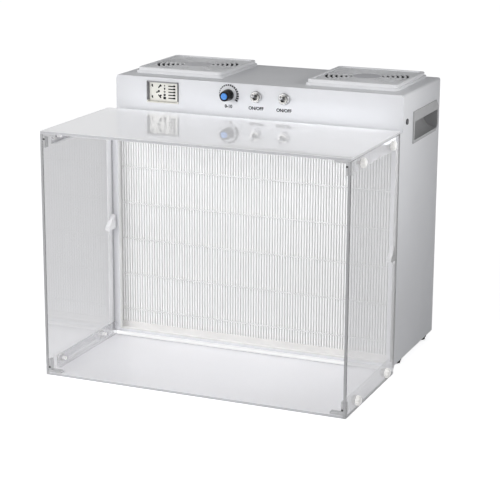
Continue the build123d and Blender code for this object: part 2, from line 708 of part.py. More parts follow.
with BuildPart() as fan_impeller_left:
    with Locations((-FAN_SPACING, 0, 0)):
        add(fan_impeller.part)
save(fan_impeller_left, "fan_impeller_left")

# ================================================================ fan guards
# Guard base: square tray with a round window, screwed through the lid into the fan
base_plane = Plane(origin=(fan_x, fan_y, lid_z))
with BuildPart() as guard_base:
    with BuildSketch(base_plane):
        RectangleRounded(BASE_SIZE, BASE_SIZE, GRILLE_CORNER)
    extrude(amount=BASE_HEIGHT)
    with BuildSketch(base_plane.offset(BASE_FLOOR)):
        RectangleRounded(PAD_SIZE + FIT, PAD_SIZE + FIT, GRILLE_CORNER)
    extrude(amount=BASE_HEIGHT, mode=Mode.SUBTRACT)
    with BuildSketch(base_plane):
        Circle(FAN_BORE / 2)
        with GridLocations(FAN_SCREW_PITCH, FAN_SCREW_PITCH, 2, 2):
            Circle(FAN_SCREW_HOLE / 2)
    extrude(amount=BASE_HEIGHT, mode=Mode.SUBTRACT)
save_pair(guard_base, "guard_base")

# Dust pad of open foam, held between base and guard
grille_under = BASE_HEIGHT + GUARD_HEIGHT - GUARD_DISH - GRILLE
with BuildPart() as dust_pad:
    with BuildSketch(base_plane.offset(BASE_FLOOR)):
        RectangleRounded(PAD_SIZE, PAD_SIZE, PAD_CORNER)
    extrude(amount=grille_under - BASE_FLOOR)
save_pair(dust_pad, "dust_pad")

# Guard: snap-on cover with a raised rim and a grille of rings round a solid hub
guard_plane = base_plane.offset(BASE_HEIGHT)
guard_top = guard_plane.offset(GUARD_HEIGHT)
slot_pitch = (SLOT_OUTER / 2 - SLOT_HUB / 2 + RING_WIDTH) / SLOT_RINGS
slot_width = slot_pitch - RING_WIDTH
slot_outer_radii = [SLOT_OUTER / 2 - i * slot_pitch for i in range(SLOT_RINGS)]
with BuildPart() as fan_guard:
    with BuildSketch(guard_plane):
        RectangleRounded(GUARD_SIZE, GUARD_SIZE, GRILLE_CORNER)
    extrude(amount=GUARD_HEIGHT)
    chamfer(fan_guard.faces().sort_by(Axis.Z)[-1].edges(), GUARD_EDGE)
    with BuildSketch(guard_top):
        RectangleRounded(
            GUARD_SIZE - 2 * GUARD_RIM,
            GUARD_SIZE - 2 * GUARD_RIM,
            GRILLE_CORNER,
        )
    extrude(amount=-GUARD_DISH, mode=Mode.SUBTRACT)
    with BuildSketch(guard_plane):
        RectangleRounded(
            GUARD_SIZE - 2 * GUARD_WALL,
            GUARD_SIZE - 2 * GUARD_WALL,
            GRILLE_CORNER,
        )
    extrude(amount=GUARD_HEIGHT - GUARD_DISH - GRILLE, mode=Mode.SUBTRACT)
    with BuildSketch(guard_top):
        for outer_radius in slot_outer_radii:
            Circle(outer_radius)
            Circle(outer_radius - slot_width, mode=Mode.SUBTRACT)
        with PolarLocations(0, SPOKES):
            Rectangle(SLOT_OUTER, SPOKE_WIDTH, mode=Mode.SUBTRACT, align=(Align.MIN, Align.CENTER))
    extrude(amount=-GUARD_HEIGHT, mode=Mode.SUBTRACT)
save_pair(fan_guard, "fan_guard")

# Screws through guard base and lid into the fan frames
with BuildPart() as fan_screws:
    with BuildSketch(Plane.XY.offset(lid_z + BASE_FLOOR)):
        with Locations(*fan_places):
            with GridLocations(FAN_SCREW_PITCH, FAN_SCREW_PITCH, 2, 2):
                Circle(FAN_SCREW_HEAD / 2)
    extrude(amount=FAN_SCREW_HEAD_HEIGHT)
    with BuildSketch(Plane.XY.offset(lid_z + BASE_FLOOR)):
        with Locations(*fan_places):
            with GridLocations(FAN_SCREW_PITCH, FAN_SCREW_PITCH, 2, 2):
                Circle(FAN_SCREW / 2)
    extrude(amount=-FAN_SCREW_LENGTH)
save(fan_screws, "fan_screws")

# ================================================================ controls
# Display bezel: flanged black frame with a deep bevelled window
bezel_front = facing_user(strip_y - DISPLAY_FLANGE, DISPLAY_X, display_z)
bezel_body_width = DISPLAY_WIDTH - 2 * DISPLAY_BODY_INSET
bezel_body_height = DISPLAY_HEIGHT - 2 * DISPLAY_BODY_INSET
window_width = DISPLAY_WIDTH - 2 * DISPLAY_LIP
window_height = DISPLAY_HEIGHT - 2 * DISPLAY_LIP
bevel_angle = degrees(atan2(DISPLAY_BEVEL, DISPLAY_BEVEL_DEPTH))
with BuildPart() as display_bezel:
    with BuildSketch(bezel_front):
        RectangleRounded(DISPLAY_WIDTH, DISPLAY_HEIGHT, DISPLAY_BODY_INSET)
    extrude(amount=-DISPLAY_FLANGE)
    with BuildSketch(bezel_front.offset(-DISPLAY_FLANGE)):
        Rectangle(bezel_body_width, bezel_body_height)
    extrude(amount=-DISPLAY_DEPTH)
    with BuildSketch(bezel_front):
        Rectangle(window_width, window_height)
    extrude(amount=-DISPLAY_BEVEL_DEPTH, taper=bevel_angle, mode=Mode.SUBTRACT)
    with BuildSketch(bezel_front.offset(-DISPLAY_BEVEL_DEPTH)):
        Rectangle(window_width - DISPLAY_LIP, window_height - DISPLAY_LIP)
    extrude(amount=-DISPLAY_DEPTH, mode=Mode.SUBTRACT)
save(display_bezel, "display_bezel")

# Display module: glass cell on a circuit board, seated behind the bevel
with BuildPart() as display_module:
    with BuildSketch(bezel_front.offset(-DISPLAY_BEVEL_DEPTH)):
        Rectangle(window_width - DISPLAY_LIP - FIT, window_height - DISPLAY_LIP - FIT)
    extrude(amount=-LCD_DEPTH)
    with BuildSketch(bezel_front.offset(-DISPLAY_BEVEL_DEPTH - LCD_DEPTH)):
        Rectangle(window_width - DISPLAY_LIP - FIT, window_height - 2 * DISPLAY_LIP)
    extrude(amount=-BOARD_SHEET)
save(display_module, "display_module")

# Speed control: potentiometer, its nut, shaft, knob and cap
knob_axis = facing_user(strip_y, KNOB_X, control_z)
with BuildPart() as speed_pot:
    with BuildSketch(knob_axis.offset(-SHEET)):
        Circle(POT_BODY / 2)
    extrude(amount=-POT_DEPTH)
    with BuildSketch(knob_axis.offset(-SHEET)):
        Circle(POT_BUSH / 2)
    extrude(amount=SHEET + POT_BUSH_PROUD)
    with BuildSketch(knob_axis.offset(POT_BUSH_PROUD)):
        Circle(POT_SHAFT / 2 + RUNNING)
    extrude(amount=-(POT_BUSH_PROUD + SHEET + POT_DEPTH / 2), mode=Mode.SUBTRACT)
save(speed_pot, "speed_pot")

with BuildPart() as pot_nut:
    with BuildSketch(knob_axis):
        RegularPolygon(POT_NUT / 2, 6, major_radius=False)
        Circle(POT_BUSH / 2 + RUNNING, mode=Mode.SUBTRACT)
    extrude(amount=POT_NUT_HEIGHT)
save(pot_nut, "pot_nut")

knob_rear = knob_axis.offset(KNOB_GAP)
knob_front = knob_rear.offset(KNOB_HEIGHT)
knob_bore_depth = KNOB_HEIGHT - KNOB_CAP_SUNK - KNOB_CAP_PROUD - HUB_WALL
grip_height = KNOB_HEIGHT - KNOB_SKIRT
knob_taper = degrees(atan2((KNOB_DIAMETER - KNOB_TOP_DIAMETER) / 2, grip_height))
with BuildPart() as pot_shaft:
    with BuildSketch(knob_axis.offset(-(SHEET + POT_DEPTH / 2 - FIT))):
        Circle(POT_SHAFT / 2)
    extrude(amount=SHEET + POT_DEPTH / 2 - FIT + KNOB_GAP + knob_bore_depth)
save(pot_shaft, "pot_shaft")

with BuildPart() as speed_knob:
    with BuildSketch(knob_rear):
        Circle(KNOB_DIAMETER / 2)
    extrude(amount=KNOB_SKIRT)
    with BuildSketch(knob_rear.offset(KNOB_SKIRT)):
        Circle(KNOB_DIAMETER / 2)
    extrude(amount=grip_height, taper=knob_taper)
    fillet(speed_knob.edges().filter_by(GeomType.CIRCLE).sort_by(Axis.Y)[0], FLUTE_RADIUS)
    with BuildSketch(knob_rear.offset(KNOB_SKIRT)):
        with PolarLocations(KNOB_DIAMETER / 2, KNOB_FLUTES):
            Circle(FLUTE_RADIUS)
    extrude(amount=grip_height, taper=-knob_taper, mode=Mode.SUBTRACT)
    with BuildSketch(knob_rear):
        Circle(KNOB_POCKET / 2)
    extrude(amount=KNOB_POCKET_DEPTH, mode=Mode.SUBTRACT)
    with BuildSketch(knob_rear):
        Circle(POT_SHAFT / 2 + RUNNING)
    extrude(amount=knob_bore_depth, mode=Mode.SUBTRACT)
    with BuildSketch(knob_front):
        Circle(KNOB_CAP / 2 + RUNNING)
    extrude(amount=-KNOB_CAP_SUNK, mode=Mode.SUBTRACT)
save(speed_knob, "speed_knob")

with BuildPart() as knob_cap:
    with BuildSketch(knob_front.offset(-KNOB_CAP_SUNK)):
        Circle(KNOB_CAP / 2)
    extrude(amount=KNOB_CAP_SUNK + KNOB_CAP_PROUD)
    fillet(knob_cap.edges().filter_by(GeomType.CIRCLE).sort_by(Axis.Y)[0], KNOB_CAP_PROUD)
save(knob_cap, "knob_cap")

# Toggle switches: a body with a threaded bush, and a bat lever on a ball
ball_seat = PIVOT_SUNK + LEVER_BALL / 2 + RUNNING
tilt = radians(LEVER_TILT)


def save_switch(x, name):
    """Builds one switch at x and writes its body and its lever, tilted up."""
    switch_axis = facing_user(strip_y, x, control_z)
    with BuildPart() as switch_body:
        with BuildSketch(switch_axis.offset(-SHEET)):
            Rectangle(SWITCH_WIDTH, SWITCH_BODY_HEIGHT)
        extrude(amount=-SWITCH_DEPTH)
        with BuildSketch(switch_axis.offset(-SHEET)):
            Circle(SWITCH_BUSH / 2)
        extrude(amount=SHEET + SWITCH_BUSH_PROUD)
        with BuildSketch(switch_axis.offset(SWITCH_BUSH_PROUD)):
            Circle(LEVER_BALL / 2 + RUNNING)
        extrude(amount=-(SWITCH_BUSH_PROUD + ball_seat), mode=Mode.SUBTRACT)
    save(switch_body, f"{name}_switch_body")

    lever_plane = Plane(
        origin=(x, strip_y + PIVOT_SUNK, control_z),
        x_dir=(1, 0, 0),
        z_dir=(0, -sin(tilt), -cos(tilt)),
    )
    tip_centre = LEVER_LENGTH - LEVER_TIP / 2
    with BuildPart() as switch_lever:
        with BuildSketch(lever_plane):
            Circle(LEVER_BALL / 2)
            with Locations((0, tip_centre)):
                Circle(LEVER_TIP / 2)
            Polygon(
                (-LEVER_NECK / 2, 0),
                (LEVER_NECK / 2, 0),
                (LEVER_TIP / 2, tip_centre),
                (-LEVER_TIP / 2, tip_centre),
                align=None,
            )
            Rectangle(
                LEVER_BALL,
                2 * LEVER_LENGTH,
                align=(Align.MIN, Align.CENTER),
                mode=Mode.INTERSECT,
            )
        revolve(axis=Axis(lever_plane.origin, lever_plane.y_dir))
    save(switch_lever, f"{name}_switch_lever")


save_switch(LIGHT_X, "light")
save_switch(POWER_X, "power")

with BuildPart() as switch_nuts:
    with BuildSketch(facing_user(strip_y)):
        with Locations((LIGHT_X, control_z), (POWER_X, control_z)):
            Circle(SWITCH_NUT / 2)
            Circle(SWITCH_BUSH / 2 + RUNNING, mode=Mode.SUBTRACT)
    extrude(amount=SWITCH_NUT_HEIGHT)
    nut_rims = switch_nuts.edges().filter_by(GeomType.CIRCLE).group_by(Axis.Y)[0]
    chamfer(nut_rims.group_by(SortBy.RADIUS)[-1], GUARD_EDGE)
save(switch_nuts, "switch_nuts")

# ================================================================ carrying handles
scoop_top = handle_body_height / 2
lip_bottom = HANDLE_HEIGHT / 2 - HANDLE_LIP


def scoop_section(plane, wall, mouth):
    """Section of the finger scoop: square at the top, its back curving out below."""
    back = wall - HANDLE_REACH
    proud = mouth[0][0]
    with BuildSketch(plane) as section:
        with BuildLine():
            Polyline(
                *mouth,
                (back, scoop_top - wall),
                (back, HANDLE_KNEE),
            )
            TangentArc((back, HANDLE_KNEE), (0, wall - scoop_top), tangent=(0, -1))
            Line((0, wall - scoop_top), (proud, wall - scoop_top))
        make_face()
    return section.sketch


with BuildPart() as handle_cup:
    with BuildSketch(facing_right(half_cabinet, handle_mid_y, handle_mid_z)):
        with BuildLine():
            Polyline(
                (-HANDLE_LENGTH / 2, -HANDLE_HEIGHT / 2),
                (HANDLE_LENGTH / 2 - HANDLE_CHAMFER, -HANDLE_HEIGHT / 2),
                (HANDLE_LENGTH / 2, HANDLE_CHAMFER - HANDLE_HEIGHT / 2),
                (HANDLE_LENGTH / 2, HANDLE_HEIGHT / 2 - HANDLE_CHAMFER),
                (HANDLE_LENGTH / 2 - HANDLE_CHAMFER, HANDLE_HEIGHT / 2),
                (-HANDLE_LENGTH / 2, HANDLE_HEIGHT / 2),
                close=True,
            )
        make_face()
    extrude(amount=HANDLE_FLANGE)
    cup_front = facing_user(handle_mid_y - handle_body_length / 2, half_cabinet, handle_mid_z)
    extrude(
        scoop_section(cup_front, 0, [(FIT, -scoop_top), (FIT, scoop_top)]),
        amount=handle_body_length,
        dir=(0, 1, 0),
    )
    finger_mouth = [
        (2 * HANDLE_FLANGE, HANDLE_WALL - scoop_top),
        (2 * HANDLE_FLANGE, lip_bottom),
        (-HANDLE_WALL, lip_bottom),
        (-HANDLE_WALL, scoop_top - HANDLE_WALL),
    ]
    extrude(
        scoop_section(cup_front.offset(-HANDLE_WALL), HANDLE_WALL, finger_mouth),
        amount=handle_body_length - 2 * HANDLE_WALL,
        dir=(0, 1, 0),
        mode=Mode.SUBTRACT,
    )
save_pair(handle_cup, "handle_cup")

# ================================================================ hood
thumb_rows = [hood_front_y + THUMB_FRONT_INSET, hood_rear_y - THUMB_REAR_INSET]
rail_low_z = ACRYLIC + RAIL_HEIGHT / 2
rail_high_z = hood_under_z - RAIL_HEIGHT / 2
thumb_places = [(y, z) for y in thumb_rows for z in (rail_low_z, rail_high_z)]
panel_depth = hood_rear_y - hood_front_y
rail_front_y = hood_front_y + RAIL_FRONT_INSET

with BuildPart() as hood_top:
    with BuildSketch(Plane.XY.offset(hood_under_z)):
        with Locations((0, hood_front_y)):
            Rectangle(HOOD_WIDTH, panel_depth, align=(Align.CENTER, Align.MIN))
    extrude(amount=ACRYLIC)
    chamfer(hood_top.edges(), POLISH)
save(hood_top, "hood_top")

with BuildPart() as hood_bottom:
    with BuildSketch(Plane.XY):
        with Locations((0, hood_front_y)):
            Rectangle(2 * hood_inner_half, panel_depth, align=(Align.CENTER, Align.MIN))
    extrude(amount=ACRYLIC)
    chamfer(hood_bottom.edges(), POLISH)
save(hood_bottom, "hood_bottom")

with BuildPart() as hood_side:
    with BuildSketch(facing_right(hood_inner_half)):
        with Locations((hood_front_y, 0)):
            Rectangle(panel_depth, hood_under_z, align=(Align.MIN, Align.MIN))
    extrude(amount=ACRYLIC)
    chamfer(hood_side.edges(), POLISH)
    with BuildSketch(facing_right(hood_inner_half)):
        with Locations(*thumb_places):
            Circle(THUMB_HOLE / 2)
    extrude(amount=ACRYLIC, mode=Mode.SUBTRACT)
save_pair(hood_side, "hood_side")

# Rails: clear strips in the four long corners, tapped for the thumb screws
for rail_z, level in ((rail_low_z, "bottom"), (rail_high_z, "top")):
    with BuildPart() as hood_rail:
        with BuildSketch(facing_right(hood_inner_half)):
            with Locations((rail_front_y, rail_z)):
                Rectangle(hood_rear_y - rail_front_y, RAIL_HEIGHT, align=(Align.MIN, Align.CENTER))
            with Locations(*[(y, rail_z) for y in thumb_rows]):
                Circle(THUMB_SHANK / 2 + RUNNING, mode=Mode.SUBTRACT)
        extrude(amount=-RAIL)
    save_pair(hood_rail, f"hood_rail_{level}")

# Nylon thumb screws: fluted heads with domed ends, the same on both sides
with BuildPart() as thumb_screw_side:
    with BuildSketch(facing_right(HOOD_WIDTH / 2)):
        with Locations(*thumb_places):
            Circle(THUMB_CROWN / 2)
    extrude(amount=THUMB_HEAD_HEIGHT)
    fillet(
        thumb_screw_side.edges().filter_by(GeomType.CIRCLE).group_by(Axis.X)[-1],
        THUMB_CROWN_HEIGHT - FLUTE_RADIUS / 2,
    )
    with BuildSketch(facing_right(HOOD_WIDTH / 2)):
        with Locations(*thumb_places):
            Circle(THUMB_HEAD / 2)
            with PolarLocations(THUMB_HEAD / 2, THUMB_FLUTES):
                Circle(THUMB_FLUTE, mode=Mode.SUBTRACT)
    extrude(amount=THUMB_HEAD_HEIGHT - THUMB_CROWN_HEIGHT)
    with BuildSketch(facing_right(HOOD_WIDTH / 2)):
        with Locations(*thumb_places):
            Circle(THUMB_SHANK / 2)
    extrude(amount=-(ACRYLIC + RAIL - THUMB_TIP_GAP))
with BuildPart() as thumb_screws:
    add(thumb_screw_side.part)
    mirror(thumb_screw_side.part, about=Plane.YZ)
save(thumb_screws, "thumb_screws")

# Corner brackets: short angles behind the open front
bracket_front_y = hood_front_y + BRACKET_INSET
for corner_z, rise, level in ((ACRYLIC, Align.MIN, "bottom"), (hood_under_z, Align.MAX, "top")):
    with BuildPart() as corner_bracket:
        with BuildSketch(facing_user(bracket_front_y, hood_inner_half, corner_z)):
            Rectangle(BRACKET_LEG, BRACKET_SHEET, align=(Align.MAX, rise))
            Rectangle(BRACKET_SHEET, BRACKET_LEG, align=(Align.MAX, rise))
        extrude(amount=-BRACKET_LENGTH)
    save_pair(corner_bracket, f"corner_bracket_{level}")

# Side clips: nylon gussets that hook the side panels to the cabinet
with BuildPart() as side_clip:
    with BuildSketch(facing_right(hood_inner_half, hood_rear_y, CLIP_Z - CLIP_HEIGHT / 2)):
        with BuildLine():
            Polyline(
                (0, 0),
                (0, CLIP_HEIGHT),
                (-CLIP_NOSE, CLIP_HEIGHT),
                (-CLIP_DEPTH, CLIP_NOSE),
                (-CLIP_DEPTH, 0),
                close=True,
            )
        make_face()
    extrude(amount=-CLIP_THICKNESS)
save_pair(side_clip, "side_clip")

# Seals: black strips between the side panels and the cabinet face
with BuildPart() as hood_seal:
    with BuildSketch(facing_user(face_y)):
        with Locations((half_cabinet + SEAL_OVERHANG, floor_z)):
            Rectangle(SEAL_WIDTH, hood_under_z - floor_z, align=(Align.MAX, Align.MIN))
    extrude(amount=SEAL)
save_pair(hood_seal, "hood_seal")

# Light bar on the cabinet face, above the filter opening
led_mid_z = ledge_z - LED_DROP - LED_HEIGHT / 2
with BuildPart() as light_bar:
    with BuildSketch(facing_right(-LED_LENGTH / 2)):
        with Locations((face_y, led_mid_z)):
            Rectangle(LED_DEPTH, LED_HEIGHT, align=(Align.MAX, Align.CENTER))
    extrude(amount=LED_LENGTH)
    front_edges = light_bar.edges().filter_by(Axis.X).group_by(Axis.Y)[0]
    fillet(front_edges, LED_ROUND)
save(light_bar, "light_bar")

# ================================================================ electrics
with BuildPart() as control_board:
    board_plane = Plane(origin=(pcb_x, pcb_y, floor_top_z + PCB_BOSS_HEIGHT))
    with BuildSketch(board_plane):
        Rectangle(PCB_LENGTH, PCB_WIDTH)
    extrude(amount=BOARD_SHEET)
    component_plane = board_plane.offset(BOARD_SHEET)
    with BuildSketch(component_plane):
        with Locations((-COIL_OFFSET, 0)):
            Rectangle(COIL_LENGTH, COIL_WIDTH)
    extrude(amount=COIL_HEIGHT)
    with BuildSketch(component_plane):
        with Locations((CAPACITOR_OFFSET, 0)):
            with GridLocations(CAPACITOR, CAPACITOR_PITCH, 1, 2):
                Circle(CAPACITOR / 2)
    extrude(amount=CAPACITOR_HEIGHT)
    with BuildSketch(component_plane):
        with Locations((TERMINAL_OFFSET, 0)):
            Rectangle(TERMINAL_WIDTH, TERMINAL_LENGTH)
    extrude(amount=TERMINAL_HEIGHT)
save(control_board, "control_board")

inlet_plane = facing_user(rear_y, INLET_X, INLET_Z)
with BuildPart() as power_inlet:
    with BuildSketch(inlet_plane):
        Circle(INLET_FLANGE / 2)
    extrude(amount=-INLET_FLANGE_HEIGHT)
    with BuildSketch(inlet_plane):
        Circle(INLET_BODY / 2)
    extrude(amount=INLET_LENGTH)
    with BuildSketch(inlet_plane.offset(-INLET_FLANGE_HEIGHT)):
        Circle(INLET_BORE / 2)
        Circle(INLET_PIN / 2, mode=Mode.SUBTRACT)
    extrude(amount=INLET_BORE_DEPTH, mode=Mode.SUBTRACT)
save(power_inlet, "power_inlet")
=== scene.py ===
"""Dresses the bench-top laminar flow hood and sets it in a plain studio.

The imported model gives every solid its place, in metres, with +X to the user's
right, -Y towards the user and +Z up. Each sub-assembly below is a class that
holds its sizes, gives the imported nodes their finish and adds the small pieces
that the solids leave out.
"""

import logging
import math
from abc import ABC, abstractmethod
from dataclasses import dataclass
from enum import Enum
from typing import ClassVar, Iterator, NamedTuple, Sequence, Union

import bmesh
import bpy
from mathutils import Matrix, Vector

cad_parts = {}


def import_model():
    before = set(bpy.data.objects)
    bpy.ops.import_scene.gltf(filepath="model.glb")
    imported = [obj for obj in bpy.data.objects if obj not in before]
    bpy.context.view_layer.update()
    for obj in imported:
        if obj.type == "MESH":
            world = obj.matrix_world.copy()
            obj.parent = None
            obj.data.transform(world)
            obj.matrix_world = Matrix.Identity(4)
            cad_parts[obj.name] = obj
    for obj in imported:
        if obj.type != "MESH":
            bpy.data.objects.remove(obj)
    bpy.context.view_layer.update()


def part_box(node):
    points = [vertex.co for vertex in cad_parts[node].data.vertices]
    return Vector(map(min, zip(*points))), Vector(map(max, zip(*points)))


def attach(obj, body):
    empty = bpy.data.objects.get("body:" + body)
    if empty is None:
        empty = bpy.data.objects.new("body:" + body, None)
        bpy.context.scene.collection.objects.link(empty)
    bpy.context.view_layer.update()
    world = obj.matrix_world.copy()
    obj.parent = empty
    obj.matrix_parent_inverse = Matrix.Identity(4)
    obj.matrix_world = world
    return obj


LOG = logging.getLogger("flow_hood")
MM = 0.001
MERGE_DISTANCE = 1e-7
SMOOTH_ANGLE = math.radians(32)
NOISE_MIDDLE = (0.3, 0.7)  # range that most of a noise value lies in
ACRYLIC_INDEX = 1.49
FLAT_SHARE = 0.6  # least part of a flat face's normal that lies across its sheet
SIDES = {"left": -1.0, "right": 1.0}  # with the sign of X
LEVELS = {"bottom": 1.0, "top": -1.0}  # with the sign of Z towards the hood's middle
CABINET = "cabinet"  # body of every added piece

Triple = tuple[float, float, float]
Colour = Triple
Socket = bpy.types.NodeSocket
Feed = Union[Socket, Triple, float]
WHITE: Colour = (1.0, 1.0, 1.0)


class Slot(Enum):
    """Material slots of the record."""

    BLACK_PLASTIC = "black_plastic"
    BLACK_STEEL = "black_steel"
    WHITE_NYLON = "white_nylon"


def middle(node: str) -> Vector:
    """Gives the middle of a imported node's box."""
    low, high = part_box(node)
    return (low + high) / 2


def add_object(name: str, data: bpy.types.ID) -> bpy.types.Object:
    """Makes an object and puts it in the scene.

    Args:
        name: Name of the object.
        data: Its mesh, curve, light or camera.

    Returns:
        The new object.
    """
    thing = bpy.data.objects.new(name, data)
    bpy.context.scene.collection.objects.link(thing)
    return thing


# ---------------------------------------------------------------- finishes
class Nodes:
    """Short-hand for building one node tree."""

    def __init__(self, tree: bpy.types.NodeTree, output: str = "OutputMaterial") -> None:
        """Starts an empty tree.

        Args:
            tree: Tree of a material or of a world.
            output: Kind of its output node.
        """
        self.tree = tree
        self.tree.nodes.clear()
        self.output = self.add(output)

    def add(
        self, kind: str, sockets: dict[str | int, Feed] | None = None, **settings: object
    ) -> bpy.types.Node:
        """Adds a node.

        Args:
            kind: Node type after "ShaderNode".
            sockets: What feeds its inputs: an output, a number or a colour.
            **settings: Its own settings.

        Returns:
            The new node.
        """
        node = self.tree.nodes.new("ShaderNode" + kind)
        for key, value in settings.items():
            setattr(node, key, value)
        for key, value in (sockets or {}).items():
            socket = node.inputs[key]
            if isinstance(value, bpy.types.NodeSocket):
                self.tree.links.new(value, socket)
            elif socket.type == "RGBA":
                socket.default_value = (*value, 1.0)
            else:
                socket.default_value = value
        return node

    def close(self, shader: bpy.types.Node) -> None:
        """Connects the last shader to the output."""
        self.tree.links.new(shader.outputs[0], self.output.inputs["Surface"])

    def maths(self, operation: str, first: Feed, second: Feed = 0.0) -> Socket:
        """Works out one step of arithmetic."""
        return self.add("Math", {0: first, 1: second}, operation=operation).outputs[0]

    def ranged(
        self,
        value: Socket,
        reach: tuple[float, float] = (0.0, 1.0),
        levels: tuple[float, float] = (0.0, 1.0),
        interpolation: str = "LINEAR",
    ) -> Socket:
        """Maps a range of a value onto another, and holds it level beyond.

        Args:
            value: Value to map.
            reach: Where the result starts and stops changing.
            levels: Result at both of them.
            interpolation: How it goes from one to the other.

        Returns:
            Value output.
        """
        ends = zip(("From Min", "From Max", "To Min", "To Max"), (*reach, *levels))
        node = self.add(
            "MapRange", {"Value": value, **dict(ends)}, interpolation_type=interpolation
        )
        return node.outputs["Result"]

    def place(self, stretch: Triple = (1.0, 1.0, 1.0)) -> Socket:
        """Gives Object coordinates, stretched along X, Y and Z."""
        where = self.add("TexCoord").outputs["Object"]
        return self.add("Mapping", {"Vector": where, "Scale": stretch}).outputs["Vector"]

    def along(self, axis: str) -> Socket:
        """Gives one of the Object coordinates."""
        return self.add("SeparateXYZ", {"Vector": self.place()}).outputs[axis]

    def sawn_edge(self, axis: str) -> Socket:
        """Tells the edges of a sheet from its flat faces.

        Args:
            axis: Axis that the sheet lies across.

        Returns:
            1 on the edges and 0 on the faces.
        """
        facing = self.add("SeparateXYZ", {"Vector": self.add("TexCoord").outputs["Normal"]})
        return self.maths("LESS_THAN", self.maths("ABSOLUTE", facing.outputs[axis]), FLAT_SHARE)

    def noise(
        self, per_metre: float, detail: float = 2.0, stretch: Triple = (1.0, 1.0, 1.0)
    ) -> Socket:
        """Gives a noise value between 0 and 1.

        Args:
            per_metre: Cells of noise in a metre.
            detail: Octaves of finer noise.
            stretch: Scale of the pattern along X, Y and Z.

        Returns:
            Value output.
        """
        sockets = {"Vector": self.place(stretch), "Scale": per_metre, "Detail": detail}
        return self.add("TexNoise", sockets).outputs["Fac"]

    def spread(self, noise: Socket, low: float = 0.0, high: float = 1.0) -> Socket:
        """Maps the middle of a noise value onto a range."""
        return self.ranged(noise, NOISE_MIDDLE, (low, high))

    def blend(self, share: Socket, first: Feed, second: Feed) -> Socket:
        """Blends two colours.

        Args:
            share: 0 for the first colour, 1 for the second.
            first: First colour.
            second: Second colour.

        Returns:
            Colour output.
        """
        factor, first_colour, second_colour, result = 0, 6, 7, 2
        sockets = {factor: share, first_colour: first, second_colour: second}
        return self.add("Mix", sockets, data_type="RGBA").outputs[result]

    def clouded(self, noise: Socket, colour: Colour, shade: float) -> Socket:
        """Clouds a colour with a darker tone of itself.

        Args:
            noise: Noise between 0 and 1.
            colour: Main colour.
            shade: Level of the darker tone.

        Returns:
            Colour output.
        """
        darker = tuple(channel * shade for channel in colour)
        return self.blend(self.spread(noise), colour, darker)

    def relief(self, height: Socket, depth: float) -> Socket:
        """Turns a height between 0 and 1, times a depth in metres, into a normal."""
        return self.add("Bump", {"Height": height, "Distance": depth}).outputs["Normal"]

    def mixed(
        self, share: Socket, first: bpy.types.Node, second: bpy.types.Node
    ) -> bpy.types.Node:
        """Mixes two shaders.

        Args:
            share: 0 for the first shader, 1 for the second.
            first: First shader.
            second: Second shader.

        Returns:
            The mixing node.
        """
        return self.add("MixShader", {0: share, 1: first.outputs[0], 2: second.outputs[0]})

    def ray(self, kind: str) -> Socket:
        """Gives 1 for one kind of light ray and 0 for the others."""
        return self.add("LightPath").outputs[kind]

    def seen(self) -> Socket:
        """Gives 1 for rays that see the background: from a camera, off gloss, through glass."""
        direct = self.maths("MAXIMUM", self.ray("Is Camera Ray"), self.ray("Is Glossy Ray"))
        return self.maths("MAXIMUM", direct, self.ray("Is Transmission Ray"))

    def through_pane(self, pane_level: float) -> Socket:
        """Gives 1, or the dimmer level of what is seen through clear sheet."""
        return self.ranged(self.ray("Is Transmission Ray"), levels=(1.0, pane_level))


class Finish(ABC):
    """A surface finish that is built once and shared by its pieces."""

    built: ClassVar[dict[str, bpy.types.Material]] = {}
    name: str

    @abstractmethod
    def shader(self, nodes: Nodes) -> bpy.types.Node:
        """Builds the finish, and gives its last shader."""

    def material(self) -> bpy.types.Material:
        """Gives the material, built at its first use.

        Returns:
            The material that every piece with this finish shares.
        """
        if self.name not in Finish.built:
            material = bpy.data.materials.new(self.name)
            material.use_nodes = True
            nodes = Nodes(material.node_tree)
            nodes.close(self.shader(nodes))
            Finish.built[self.name] = material
        return Finish.built[self.name]


@dataclass(frozen=True)
class PowderCoat(Finish):
    """Satin powder coat with a fine orange peel."""

    name: str
    colour: Colour
    shade: float = 0.965
    cloud_per_metre: float = 9.0
    smoothest: float = 0.38
    roughest: float = 0.47
    patch_per_metre: float = 60.0
    gloss: float = 0.25
    peel_per_metre: float = 900.0
    peel_depth: float = 0.03 * MM

    def shader(self, nodes: Nodes) -> bpy.types.Node:
        """Builds the finish.

        Args:
            nodes: Nodes of its material.

        Returns:
            Its last shader.
        """
        patches = nodes.noise(self.patch_per_metre)
        clouds = nodes.noise(self.cloud_per_metre)
        sockets = {
            "Base Color": nodes.clouded(clouds, self.colour, self.shade),
            "Roughness": nodes.spread(patches, self.smoothest, self.roughest),
            "Specular IOR Level": self.gloss,
            "Normal": nodes.relief(nodes.noise(self.peel_per_metre), self.peel_depth),
        }
        return nodes.add("BsdfPrincipled", sockets)


